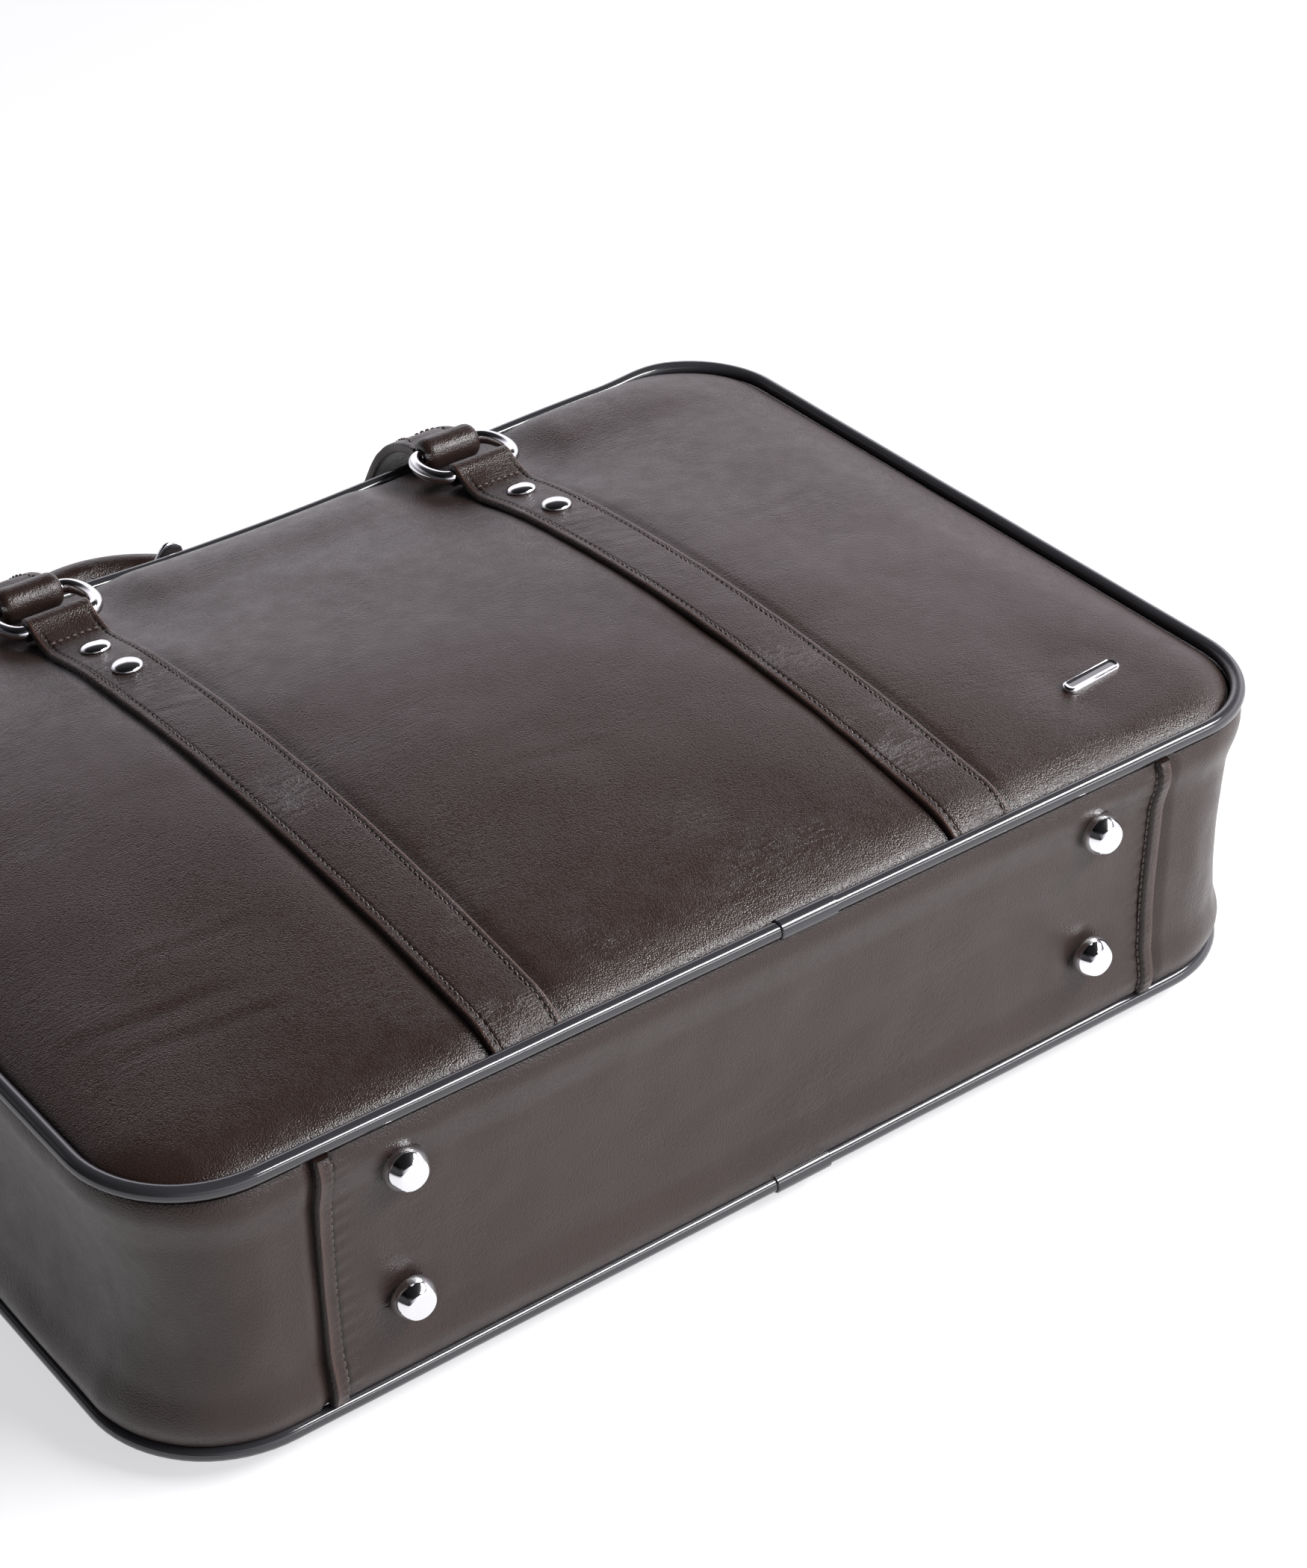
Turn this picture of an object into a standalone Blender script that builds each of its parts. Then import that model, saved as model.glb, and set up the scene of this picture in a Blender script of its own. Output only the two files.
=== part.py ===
"""A soft leather briefcase lying on its back, as named solids in metres.

+Z points out of the front panel, +Y from the feet to the handles, +X along the length.
The origin is the middle of the flat patch on which the back panel rests.
"""

import math

import bmesh
import bpy
from mathutils import Matrix, Vector

# Body: the two piping loops are its rims, and these are their centre lines.
LENGTH = 0.400
HEIGHT = 0.286
BACK_Z = 0.010
FRONT_Z = 0.102
FRONT_CORNER = 0.034
BACK_CORNER = 0.038
MIDDLE_Z = (BACK_Z + FRONT_Z) / 2
GAP = 0.0003

# Piping and the short sleeve that covers its joint.
PIPING_RADIUS = 0.0024
PIPING_CLEAR = 0.0030
SLEEVE_INNER = 0.0027
SLEEVE_OUTER = 0.0031
SLEEVE_LENGTH = 0.020
SLEEVE_X = 0.012

# Panels: padded leather, domed like a pillow. The back one is flattened by the floor.
PANEL_THICK = 0.0040
PANEL_EDGE_DROP = 0.0010
FRONT_DOME = 0.0173
BACK_DOME = 0.0122
SAG = 0.0055
SAG_HALF_LENGTH = 0.165
SAG_START_Y = -0.020
LINING_THICK = 0.0006
LINING_CLEAR = 0.0010

# Gussets: the leather walls between the two piping loops.
GUSSET_THICK = 0.0020
GUSSET_TUCK = -0.0010
GUSSET_ROLL = 0.0032
GUSSET_SETTLE = 0.0016
GUSSET_HOLLOW = 0.0060
SEAM_X = 0.1505

# Zip: two leather strips that fold into the bag, two tapes with teeth and two sliders.
MOUTH_HALF = 0.1577
FOLD_Z = 0.0137
STRIP_FACE = 0.0015
STRIP_THICK = 0.0020
STRIP_TO_TEETH = 0.0032
TEETH_HALF = 0.00015
SLIDERS_MEET_X = -0.034
SLIDER_REST = 0.0075
SLIDER_LENGTH = 0.012
SLIDER_WIDTH = 0.009
PULL_LENGTH = 0.048
PULL_OUT = math.radians(6)
PULL_LEAN = math.radians(38)

# Straps, rivets and rings.
STRAP_X = 0.080
STRAP_WIDTH = 0.023
STRAP_THICK = 0.0020
BACK_STRAP_THICK = 0.0014
GROOVE_DEPTH = 0.0019
GROOVE_HALF = 0.0122
GROOVE_SIDE = 0.0012
DENT_HALF = 0.0200
DENT_START_Y = 0.098
DENT_SLOPE = 0.009
DENT_Z = 0.0098
RIVET_Y = (0.0685, 0.0885)
RIVET_RADIUS = 0.0050
RING_WIRE = 0.0024
RING_NEAR_Y = 0.112
RING_REACH = 0.020
RING_STRAIGHT = 0.0113
RING_END = 0.0050
FRONT_RING_TILT = math.radians(-3.5)
EYE_INNER = RING_WIRE + GAP
FRONT_EYE_OUTER = 0.0044
BACK_BAR_Z = 0.0046

# Handles: a rolled grip between two flat ends that wrap the rings.
HANDLE_REACH = 0.135
HANDLE_HALF = 0.078
GRIP_RADIUS = 0.0075
END_WIDTH = 0.022
FRONT_END_THICK = 0.0038
BACK_END_THICK = 0.0026
FRONT_LOOP_OUTER = 0.0052
BACK_LOOP_OUTER = 0.0044
FLEX_REACH = 0.0400
FLEX_CLEAR = 0.0028
TAB_HEADING = math.radians(-5)
BACK_HEADING = math.radians(6.2)
CURL_HEADING = math.radians(-76)
GRIP_HEADING = math.radians(-51)
CURL_REACH = 0.046
SETTLE_REACH = 0.078

# Feet, base board, divider and emblem plate.
FOOT_X = 0.1234
FOOT_Z = (0.0382, 0.0835)
FOOT_HEIGHT = 0.0062
FOOT_BASE = 0.0065
FOOT_FACE = 0.0043
BOARD_THICK = 0.0025
DIVIDER_Z = 0.044
DIVIDER_THICK = 0.006
EMBLEM_AT = (0.1535, -0.1065)
EMBLEM_SIZE = (0.024, 0.0055, 0.0012)
EMBLEM_TURN = math.radians(7)

LEATHER = ("leather", (0.060, 0.042, 0.038), 0.45, 0.0)
STRAP_LEATHER = ("strap_leather", (0.052, 0.036, 0.033), 0.42, 0.0)
PIPING_VINYL = ("piping_vinyl", (0.045, 0.045, 0.050), 0.18, 0.0)
CHROME = ("chrome", (0.800, 0.800, 0.800), 0.08, 1.0)
LINING = ("lining", (0.090, 0.075, 0.065), 0.85, 0.0)
BOARD = ("board", (0.150, 0.120, 0.090), 0.80, 0.0)
ZIP_TAPE = ("zip_tape", (0.030, 0.025, 0.023), 0.80, 0.0)


def clear_scene():
    for item in list(bpy.data.objects):
        bpy.data.objects.remove(item, do_unlink=True)


def material(kind):
    name, colour, roughness, metallic = kind
    made = bpy.data.materials.get(name)
    if made is None:
        made = bpy.data.materials.new(name)
        made.use_nodes = True
        shader = made.node_tree.nodes["Principled BSDF"]
        shader.inputs["Base Color"].default_value = (*colour, 1.0)
        shader.inputs["Roughness"].default_value = roughness
        shader.inputs["Metallic"].default_value = metallic
    return made


def place(mesh_maker, name, kind, origin=(0.0, 0.0, 0.0)):
    """Turns a filled bmesh, given in world coordinates, into an object whose origin is at origin."""
    bmesh.ops.recalc_face_normals(mesh_maker, faces=mesh_maker.faces)
    bmesh.ops.translate(mesh_maker, verts=mesh_maker.verts, vec=-Vector(origin))
    mesh = bpy.data.meshes.new(name)
    mesh_maker.to_mesh(mesh)
    mesh_maker.free()
    mesh.shade_smooth()
    mesh.set_sharp_from_angle(angle=math.radians(38))
    mesh.materials.append(material(kind))
    made = bpy.data.objects.new(name, mesh)
    made.location = origin
    bpy.context.scene.collection.objects.link(made)
    return made


def helper(made):
    """Keeps an object that only shapes another one out of the render."""
    made.hide_render = True
    made.display_type = "WIRE"
    return made


def unite(made, others):
    for other in others:
        join = made.modifiers.new("Join", "BOOLEAN")
        join.operation = "UNION"
        join.object = helper(other)
    return made


def smooth(value):
    value = min(1.0, max(0.0, value))
    return value * value * (3 - 2 * value)


# ---- Generic solids ------------------------------------------------------------------


def shell(name, outer, inner, kind, origin=(0.0, 0.0, 0.0)):
    """Closed solid between two grids of points that have the same rows and columns."""
    made = bmesh.new()
    skins = [[[made.verts.new(point) for point in row] for row in grid] for grid in (outer, inner)]
    rows, columns = len(outer), len(outer[0])
    for skin in skins:
        for i in range(rows - 1):
            for j in range(columns - 1):
                made.faces.new((skin[i][j], skin[i + 1][j], skin[i + 1][j + 1], skin[i][j + 1]))
    border = [(i, 0) for i in range(rows)] + [(rows - 1, j) for j in range(1, columns)]
    border += [(i, columns - 1) for i in range(rows - 2, -1, -1)]
    border += [(0, j) for j in range(columns - 2, 0, -1)]
    for (i, j), (k, m) in zip(border, border[1:] + border[:1]):
        made.faces.new((skins[0][i][j], skins[0][k][m], skins[1][k][m], skins[1][i][j]))
    return place(made, name, kind, origin)


def sweep(name, points, normals, sections, kind, closed=False, origin=(0.0, 0.0, 0.0)):
    """Skins sections of (across, up) offsets along a path. Up is along each point's normal."""
    made = bmesh.new()
    count = len(points)
    loops = []
    for k, point in enumerate(points):
        ahead = points[(k + 1) % count] if closed else points[min(k + 1, count - 1)]
        behind = points[k - 1] if closed else points[max(k - 1, 0)]
        forward = (Vector(ahead) - Vector(behind)).normalized()
        across = forward.cross(Vector(normals[k])).normalized()
        up = across.cross(forward)
        loops.append([made.verts.new(Vector(point) + across * a + up * b) for a, b in sections[k]])
    pairs = list(zip(loops, loops[1:] + loops[:1])) if closed else list(zip(loops, loops[1:]))
    for first, second in pairs:
        for i in range(len(first)):
            j = (i + 1) % len(first)
            made.faces.new((first[i], first[j], second[j], second[i]))
    if not closed:
        made.faces.new(loops[0])
        made.faces.new(loops[-1])
    return place(made, name, kind, origin)


def turned(name, profile, segments, matrix, kind):
    """Solid of revolution about the matrix's Z. The profile holds (radius, height) from the base up."""
    made = bmesh.new()
    rings = []
    for radius, height in profile:
        angles = [2 * math.pi * k / segments for k in range(segments)]
        spots = [matrix @ Vector((radius * math.cos(a), radius * math.sin(a), height)) for a in angles]
        rings.append([made.verts.new(spot) for spot in spots])
    for first, second in zip(rings, rings[1:]):
        for i in range(segments):
            j = (i + 1) % segments
            made.faces.new((first[i], first[j], second[j], second[i]))
    made.faces.new(rings[0])
    made.faces.new(rings[-1])
    return place(made, name, kind, matrix.translation)


def extruded(name, outline, low_x, high_x, kind, origin=(0.0, 0.0, 0.0)):
    """Prism of a (y, z) outline that runs along X."""
    made = bmesh.new()
    ends = [[made.verts.new((x, y, z)) for y, z in outline] for x in (low_x, high_x)]
    for i in range(len(outline)):
        j = (i + 1) % len(outline)
        made.faces.new((ends[0][i], ends[0][j], ends[1][j], ends[1][i]))
    made.faces.new(ends[0])
    made.faces.new(ends[1])
    return place(made, name, kind, origin)


def block(name, low, high, kind, bevel=0.0, origin=(0.0, 0.0, 0.0)):
    made = bmesh.new()
    bmesh.ops.create_cube(made, size=1.0)
    size = Vector(high) - Vector(low)
    middle = (Vector(high) + Vector(low)) / 2
    bmesh.ops.scale(made, verts=made.verts, vec=size)
    bmesh.ops.translate(made, verts=made.verts, vec=middle)
    if bevel:
        bmesh.ops.bevel(made, geom=made.edges, offset=bevel, segments=1, affect="EDGES")
    return place(made, name, kind, origin)


def circle(radius, sides, phase=0.0):
    angles = [2 * math.pi * (k + phase) / sides for k in range(sides)]
    return [(radius * math.cos(a), radius * math.sin(a)) for a in angles]


# ---- The body's outline --------------------------------------------------------------


def corner(sign_x, sign_y, turn, radius, offset):
    """Point on a corner arc. turn runs from 0 at the long side to 1 at the short side."""
    angle = turn * math.pi / 2
    x = LENGTH / 2 - radius + (radius + offset) * math.sin(angle)
    y = HEIGHT / 2 - radius + (radius + offset) * math.cos(angle)
    return sign_x * x, sign_y * y


def rim_loop(radius, offset, long_steps, short_steps, corner_steps):
    """The rounded outline, anticlockwise seen from the front, moved outwards by offset."""
    long_half = LENGTH / 2 - radius
    short_half = HEIGHT / 2 - radius
    turns = [k / corner_steps for k in range(corner_steps + 1)]
    xs = [long_half * (2 * k / long_steps - 1) for k in range(1, long_steps)]
    ys = [short_half * (2 * k / short_steps - 1) for k in range(1, short_steps)]
    loop = [(x, -HEIGHT / 2 - offset) for x in xs]
    loop += [corner(1, -1, turn, radius, offset) for turn in turns]
    loop += [(LENGTH / 2 + offset, y) for y in ys]
    loop += [corner(1, 1, turn, radius, offset) for turn in reversed(turns)]
    loop += [(-x, HEIGHT / 2 + offset) for x in xs]
    loop += [corner(-1, 1, turn, radius, offset) for turn in turns]
    loop += [(-LENGTH / 2 - offset, -y) for y in ys]
    loop += [corner(-1, -1, turn, radius, offset) for turn in reversed(turns)]
    return loop


def sag(x, y):
    """How far the front's upper edge has sunk: most in its middle, nothing near the corners."""
    if abs(x) >= SAG_HALF_LENGTH:
        return 0.0
    along = math.cos(math.pi / 2 * x / SAG_HALF_LENGTH) ** 2
    return SAG * along * smooth((y - SAG_START_Y) / (HEIGHT / 2 - SAG_START_Y))


def pillow(x, y):
    """1 in the middle of a panel, 0 at its rim."""
    return max(0.0, 1 - (2 * x / LENGTH) ** 2) * max(0.0, 1 - (2 * y / HEIGHT) ** 2)


def front_face(x, y):
    return FRONT_Z - PANEL_EDGE_DROP + FRONT_DOME * pillow(x, y) - sag(x, y)


def back_face(x, y):
    """Outer face of the back panel: flat on the floor, grooved for the straps, dented by the rings."""
    level = max(0.0, BACK_Z + PANEL_EDGE_DROP - BACK_DOME * pillow(x, y))
    off_strap = abs(abs(x) - STRAP_X)
    if off_strap < GROOVE_HALF + GROOVE_SIDE / 2 and y < DENT_START_Y + DENT_SLOPE:
        level = max(level, GROOVE_DEPTH)
    if off_strap < DENT_HALF + GROOVE_SIDE / 2:
        level += max(0.0, DENT_Z - level) * smooth((y - DENT_START_Y) / DENT_SLOPE)
    return level


# ---- Body ----------------------------------------------------------------------------


def panel_columns(strap_breaks, radius):
    """X positions of a panel's grid: close together at the corners and at the strap's edges."""
    reach = radius - PIPING_CLEAR
    inner = LENGTH / 2 - radius
    half = [inner + reach * math.sin(math.radians(a)) for a in (90, 72, 50, 28, 0)]
    half += [0.128] + [STRAP_X + k for k in strap_breaks] + [0.034]
    return sorted([-x for x in half] + [0.0] + half)


def panel_rows():
    """Y positions of a panel's grid in its long middle part."""
    lower = [-0.140, -0.134, -0.120, -0.095, -0.062, -0.025, 0.015]
    return lower + [0.050, 0.0795, DENT_START_Y, 0.107, 0.120, 0.133, 0.140]


def panel_grid(columns, radius, height, rows):
    """Columns of points over the rounded rectangle, each at height(x, y)."""
    reach = radius - PIPING_CLEAR
    inner = LENGTH / 2 - radius
    full = HEIGHT / 2 - PIPING_CLEAR
    grid = []
    for x in columns:
        past = min(reach, max(0.0, abs(x) - inner))
        span = full - reach + math.sqrt(reach * reach - past * past)
        spots = [(x, y * span / full) for y in rows]
        grid.append([(a, b, height(a, b)) for a, b in spots])
    return grid


STRAP_EDGES = [-STRAP_WIDTH / 2, 0.0, STRAP_WIDTH / 2]
GROOVE_EDGES = [-GROOVE_HALF - GROOVE_SIDE, -GROOVE_HALF, 0.0, GROOVE_HALF, GROOVE_HALF + GROOVE_SIDE]
DENT_EDGES = [-DENT_HALF - GROOVE_SIDE, -DENT_HALF, DENT_HALF, DENT_HALF + GROOVE_SIDE]


def panel(name, front):
    """The padded sheet behind a panel's face."""
    face, radius, inward = (front_face, FRONT_CORNER, -1) if front else (back_face, BACK_CORNER, 1)
    columns = panel_columns(STRAP_EDGES if front else DENT_EDGES + GROOVE_EDGES, radius)
    outer = panel_grid(columns, radius, face, panel_rows())
    inner = [[(x, y, z + inward * PANEL_THICK) for x, y, z in row] for row in outer]
    return shell(name, outer, inner, LEATHER)


def lining_level(x, y, front):
    """Height of a lining's outer face. The back one clears the dents that the rings press."""
    if front:
        return front_face(x, y) - PANEL_THICK - LINING_CLEAR
    level = BACK_Z + PANEL_EDGE_DROP - BACK_DOME * pillow(x, y)
    level = max(level, GROOVE_DEPTH) + PANEL_THICK + LINING_CLEAR
    raised = DENT_Z + PANEL_THICK + 2 * GAP
    return level + max(0.0, raised - level) * smooth((y - 0.088) / 0.008)


def lining(name, front):
    radius, inward = (FRONT_CORNER, -1) if front else (BACK_CORNER, 1)
    columns = panel_columns([0.0], radius)
    rows = [-0.140, -0.128, -0.095, -0.040, 0.020, 0.075, 0.088, 0.096, 0.128, 0.140]
    outer = panel_grid(columns, radius, lambda x, y: lining_level(x, y, front), rows)
    inner = [[(x, y, z + inward * LINING_THICK) for x, y, z in row] for row in outer]
    return shell(name, outer, inner, LINING)


def make_panels():
    for name, front in (("front", True), ("back", False)):
        panel(name + "_panel", front)
        lining(name + "_lining", front)


def make_piping():
    for name, radius, level in (("front", FRONT_CORNER, FRONT_Z), ("back", BACK_CORNER, BACK_Z)):
        loop = rim_loop(radius, 0.0, 10, 4, 5)
        points = [(x, y, level - (sag(x, y) if name == "front" else 0.0)) for x, y in loop]
        ups = [(0, 0, 1)] * len(points)
        sections = [circle(PIPING_RADIUS, 8)] * len(points)
        sweep(name + "_piping", points, ups, sections, PIPING_VINYL, closed=True)
        sleeve(name + "_piping_sleeve", level)


def sleeve(name, level):
    """Short thin tube round the bottom run of the piping."""
    rings = ((SLEEVE_INNER, -1), (SLEEVE_OUTER, -1), (SLEEVE_OUTER, 1), (SLEEVE_INNER, 1))
    section = [(radius, side * SLEEVE_LENGTH / 2) for radius, side in rings]
    sides = 10
    made = bmesh.new()
    loops = []
    for k in range(sides):
        turn = 2 * math.pi * k / sides
        away = Vector((0, math.cos(turn), math.sin(turn)))
        centre = Vector((SLEEVE_X, -HEIGHT / 2, level))
        loops.append([made.verts.new(centre + away * r + Vector((x, 0, 0))) for r, x in section])
    for first, second in zip(loops, loops[1:] + loops[:1]):
        for i in range(4):
            j = (i + 1) % 4
            made.faces.new((first[i], first[j], second[j], second[i]))
    place(made, name, PIPING_VINYL, (SLEEVE_X, -HEIGHT / 2, level))


def gusset_offset(level, hollow):
    """How far the gusset's outer face stands out of the piping's centre line at a height."""
    edge = min(level - BACK_Z, FRONT_Z - level)
    across = (level - BACK_Z) / (FRONT_Z - BACK_Z)
    rolled = GUSSET_TUCK + GUSSET_ROLL * (1 - math.exp(-edge / 0.003))
    settled = GUSSET_SETTLE * smooth((edge - 0.004) / 0.010)
    return rolled - settled - hollow * math.sin(math.pi * across) ** 2


def gusset_levels():
    low, high = BACK_Z + 0.0032, FRONT_Z - 0.0032
    shares = (0, 0.035, 0.09, 0.17, 0.34, 0.5, 0.66, 0.83, 0.91, 0.965, 1)
    return [low + (high - low) * share for share in shares]


def gusset(name, stations):
    """stations holds functions of (corner radius, offset) that give (x, y), each with its hollow."""
    grids = ([], [])
    for station, hollow in stations:
        for grid, thick in zip(grids, (0.0, GUSSET_THICK)):
            column = []
            for level in gusset_levels():
                radius = BACK_CORNER + (FRONT_CORNER - BACK_CORNER) * (level - BACK_Z) / (FRONT_Z - BACK_Z)
                x, y = station(radius, gusset_offset(level, hollow) - thick)
                column.append((x, y, level))
            grid.append(column)
    return shell(name, grids[0], grids[1], LEATHER)


def make_gussets():
    half = SEAM_X - GAP / 2
    across = [(lambda r, o, x=half * k / 2: (x, -HEIGHT / 2 - o), 0.0) for k in (-2, -1, 0, 1, 2)]
    gusset("bottom_gusset", across)
    turns = [k / 5 for k in range(6)]
    for name, side in (("left_gusset", -1), ("right_gusset", 1)):
        stations = [(lambda r, o, s=side: (s * (SEAM_X + GAP / 2), -HEIGHT / 2 - o), 0.0)]
        for turn in turns:
            hollow = GUSSET_HOLLOW * smooth(turn)
            stations.append((lambda r, o, t=turn, s=side: corner(s, -1, t, r, o), hollow))
        for y in (-0.070, 0.0, 0.070):
            stations.append((lambda r, o, y=y, s=side: (s * (LENGTH / 2 + o), y), GUSSET_HOLLOW))
        for turn in reversed(turns):
            hollow = GUSSET_HOLLOW * smooth(turn)
            stations.append((lambda r, o, t=turn, s=side: corner(s, 1, t, r, o), hollow))
        stations.append((lambda r, o, s=side: (s * (MOUTH_HALF + GAP), HEIGHT / 2 + o), 0.0))
        gusset(name, stations)


# ---- Zip -----------------------------------------------------------------------------


def make_rims():
    """The part of each zip strip that stays with its panel, between the piping and the fold."""
    xs = [MOUTH_HALF * (k / 5 - 1) for k in range(11)]
    for name, side, rim_z in (("front_rim", 1, FRONT_Z), ("back_rim", -1, BACK_Z)):
        outer, inner = [], []
        for x in xs:
            sunk = sag(x, HEIGHT / 2) if side > 0 else 0.0
            top = rim_z - side * 0.0034 - sunk
            fold = rim_z - side * (FOLD_Z - GAP)
            spots = [(STRIP_FACE, fold), (STRIP_FACE, (top + fold) / 2), (-0.0004, top)]
            outer.append([(x, HEIGHT / 2 + y, z) for y, z in spots])
            inner.append([(x, HEIGHT / 2 + y - STRIP_THICK, z) for y, z in spots])
        shell(name, outer, inner, LEATHER)


def make_strips():
    """The folding part of each zip strip with its tape and row of teeth, hinged at the fold."""
    face = HEIGHT / 2 + STRIP_FACE
    for name, side, rim_z in (("front", 1, FRONT_Z), ("back", -1, BACK_Z)):
        fold = rim_z - side * FOLD_Z
        hinge = (0.0, HEIGHT / 2, fold)

        def spots(shape, middle=MIDDLE_Z, side=side):
            return [(face + y, middle + side * z) for y, z in shape]

        start = abs(fold - MIDDLE_Z) - 0.0023
        strip = [(0, STRIP_TO_TEETH), (0, start), (-STRIP_THICK, start), (-STRIP_THICK, STRIP_TO_TEETH)]
        extruded(name + "_zip_strip", spots(strip), -MOUTH_HALF, MOUTH_HALF, LEATHER, hinge)
        back = -STRIP_THICK - GAP
        tape = [
            (-0.0010, TEETH_HALF),
            (-0.0010, 0.0022),
            (back, 0.0026),
            (back, 0.0110),
            (back - 0.0008, 0.0110),
            (back - 0.0008, TEETH_HALF),
        ]
        extruded(name + "_zip_tape", spots(tape), -MOUTH_HALF, MOUTH_HALF, ZIP_TAPE, hinge)


def make_zip_tabs():
    """Small leather patches over the two ends of the zip."""
    face = HEIGHT / 2 + gusset_offset(MIDDLE_Z, 0.0) + GAP
    for name, side in (("left_zip_tab", -1), ("right_zip_tab", 1)):
        ends = sorted((side * (MOUTH_HALF + 0.0006), side * (LENGTH / 2 - BACK_CORNER - 0.0002 + 0.0040)))
        low = (ends[0], face, MIDDLE_Z - 0.008)
        high = (ends[1], face + 0.0014, MIDDLE_Z + 0.008)
        block(name, low, high, LEATHER, 0.0004)


def make_sliders():
    """Two sliders that meet on the closed zip, each with a hinged pull: one up, one hanging."""
    deck = HEIGHT / 2 + STRIP_FACE + GAP
    half = SLIDER_LENGTH / 2
    for name, side, rise in (("right", 1, -1), ("left", -1, 1)):
        x = SLIDERS_MEET_X + side * SLIDER_REST
        low = (x - half, deck, MIDDLE_Z - SLIDER_WIDTH / 2)
        high = (x + half, deck + 0.0016, MIDDLE_Z + SLIDER_WIDTH / 2)
        body = block(name + "_zip_slider", low, high, CHROME, 0.0004, (x, deck, MIDDLE_Z))
        lugs = []
        for offset in (-0.0036, 0.0036):
            corner_low = (x + offset - 0.0007, deck + 0.0010, MIDDLE_Z - 0.0022)
            corner_high = (x + offset + 0.0007, deck + 0.0045, MIDDLE_Z + 0.0022)
            lugs.append(block(name + "_lug", corner_low, corner_high, CHROME))
        unite(body, lugs)
        make_pull(name + "_zip_pull", Vector((x, deck + 0.0030, MIDDLE_Z)), rise)


def make_pull(name, axis, rise):
    """A flat pull with a barrel between the slider's lugs. It stands up or hangs, and leans to +X."""
    points, normals, sections = [], [], []
    steps = ((0.0000, 0.0012, 0.0026), (0.0030, 0.0009, 0.0026), (0.0060, 0.0008, 0.0028))
    steps += ((0.0090, 0.0009, 0.0040), (0.0120, 0.0010, 0.0044), (PULL_LENGTH, 0.0010, 0.0044))
    run, climb, previous = 0.0, 0.0, 0.0
    for reach, half_thick, half_wide in steps:
        angle = PULL_LEAN * smooth((reach - 0.003) / 0.007)
        run += (reach - previous) * math.sin(angle)
        climb += (reach - previous) * math.cos(angle)
        previous = reach
        out = Vector((run, math.sin(PULL_OUT) * climb, rise * math.cos(PULL_OUT) * climb))
        points.append(axis + out)
        normals.append((0, math.cos(PULL_OUT), -rise * math.sin(PULL_OUT)))
        sections.append([(a * half_wide, b * half_thick) for a, b in ((1, -1), (1, 1), (-1, 1), (-1, -1))])
    sweep(name, points, normals, sections, CHROME, origin=axis)


# ---- Straps, rivets and rings --------------------------------------------------------


def eye(name, centre, outer, inner, width, sides=14):
    """A tube along X: the end of a strap wrapped round a ring's bar."""
    made = bmesh.new()
    x, y, z = centre
    loops = []
    for k in range(sides):
        turn = 2 * math.pi * (k + 0.5) / sides
        cosine, sine = math.cos(turn), math.sin(turn)
        section = ((inner, -width / 2), (outer, -width / 2), (outer, width / 2), (inner, width / 2))
        loops.append([made.verts.new((x + a, y + r * cosine, z + r * sine)) for r, a in section])
    for first, second in zip(loops, loops[1:] + loops[:1]):
        for i in range(4):
            j = (i + 1) % 4
            made.faces.new((first[i], first[j], second[j], second[i]))
    return place(made, name, STRAP_LEATHER)


def ring_bars(front):
    """(y, z) of the ring's near bar, in the strap's eye, and of its far bar, in the handle's loop."""
    if not front:
        return (RING_NEAR_Y, BACK_BAR_Z), (RING_NEAR_Y + RING_REACH, BACK_BAR_Z)
    near_z = front_face(STRAP_X, RING_NEAR_Y) + GAP + FRONT_EYE_OUTER
    far_y = RING_NEAR_Y + RING_REACH * math.cos(FRONT_RING_TILT)
    far_z = near_z + RING_REACH * math.sin(FRONT_RING_TILT)
    return (RING_NEAR_Y, near_z), (far_y, far_z)


def strap_face(front, x, y):
    """Height of a strap's outer face: it follows the panel and ends level with its eye."""
    (near_y, near_z), _ = ring_bars(front)
    if front:
        level = front_face(x, y) + GAP + STRAP_THICK
        end = near_z + 0.0006
    else:
        level = max(0.0, back_face(x, y) - GAP - BACK_STRAP_THICK)
        end = near_z - 0.0006
    return level + (end - level) * smooth((y - (near_y - 0.016)) / 0.014)


def make_strap(name, side, front):
    (near_y, near_z), _ = ring_bars(front)
    thick = STRAP_THICK if front else BACK_STRAP_THICK
    inward = -1 if front else 1
    outer_radius = FRONT_EYE_OUTER if front else BACK_BAR_Z - GAP / 2
    ys = [y for y in panel_rows() if y < near_y - 0.010] + [near_y - 0.0055, near_y - EYE_INNER - 0.0004]
    ys[0] = -0.1395
    xs = [side * STRAP_X + k for k in STRAP_EDGES]
    outer = [[(x, y, strap_face(front, x, y)) for y in ys] for x in xs]
    inner = [[(x, y, z + inward * thick) for x, y, z in row] for row in outer]
    made = shell(name, outer, inner, STRAP_LEATHER)
    hinge = (side * STRAP_X, near_y, near_z)
    wrap = eye(name + "_eye", hinge, outer_radius, EYE_INNER, STRAP_WIDTH - 0.0004)
    return unite(made, [wrap])


def surface_matrix(x, y, face, outward, lift):
    """Frame on a curved face: Z along the outward normal, origin lift above the face."""
    step = 0.001
    slope_x = (face(x + step, y) - face(x - step, y)) / (2 * step)
    slope_y = (face(x, y + step) - face(x, y - step)) / (2 * step)
    normal = Vector((-slope_x, -slope_y, 1)).normalized() * outward
    right = Vector((1, 0, 0)) - normal * normal.x
    right.normalize()
    ahead = normal.cross(right)
    matrix = Matrix((right, ahead, normal)).transposed().to_4x4()
    matrix.translation = Vector((x, y, face(x, y))) + normal * lift
    return matrix


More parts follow.
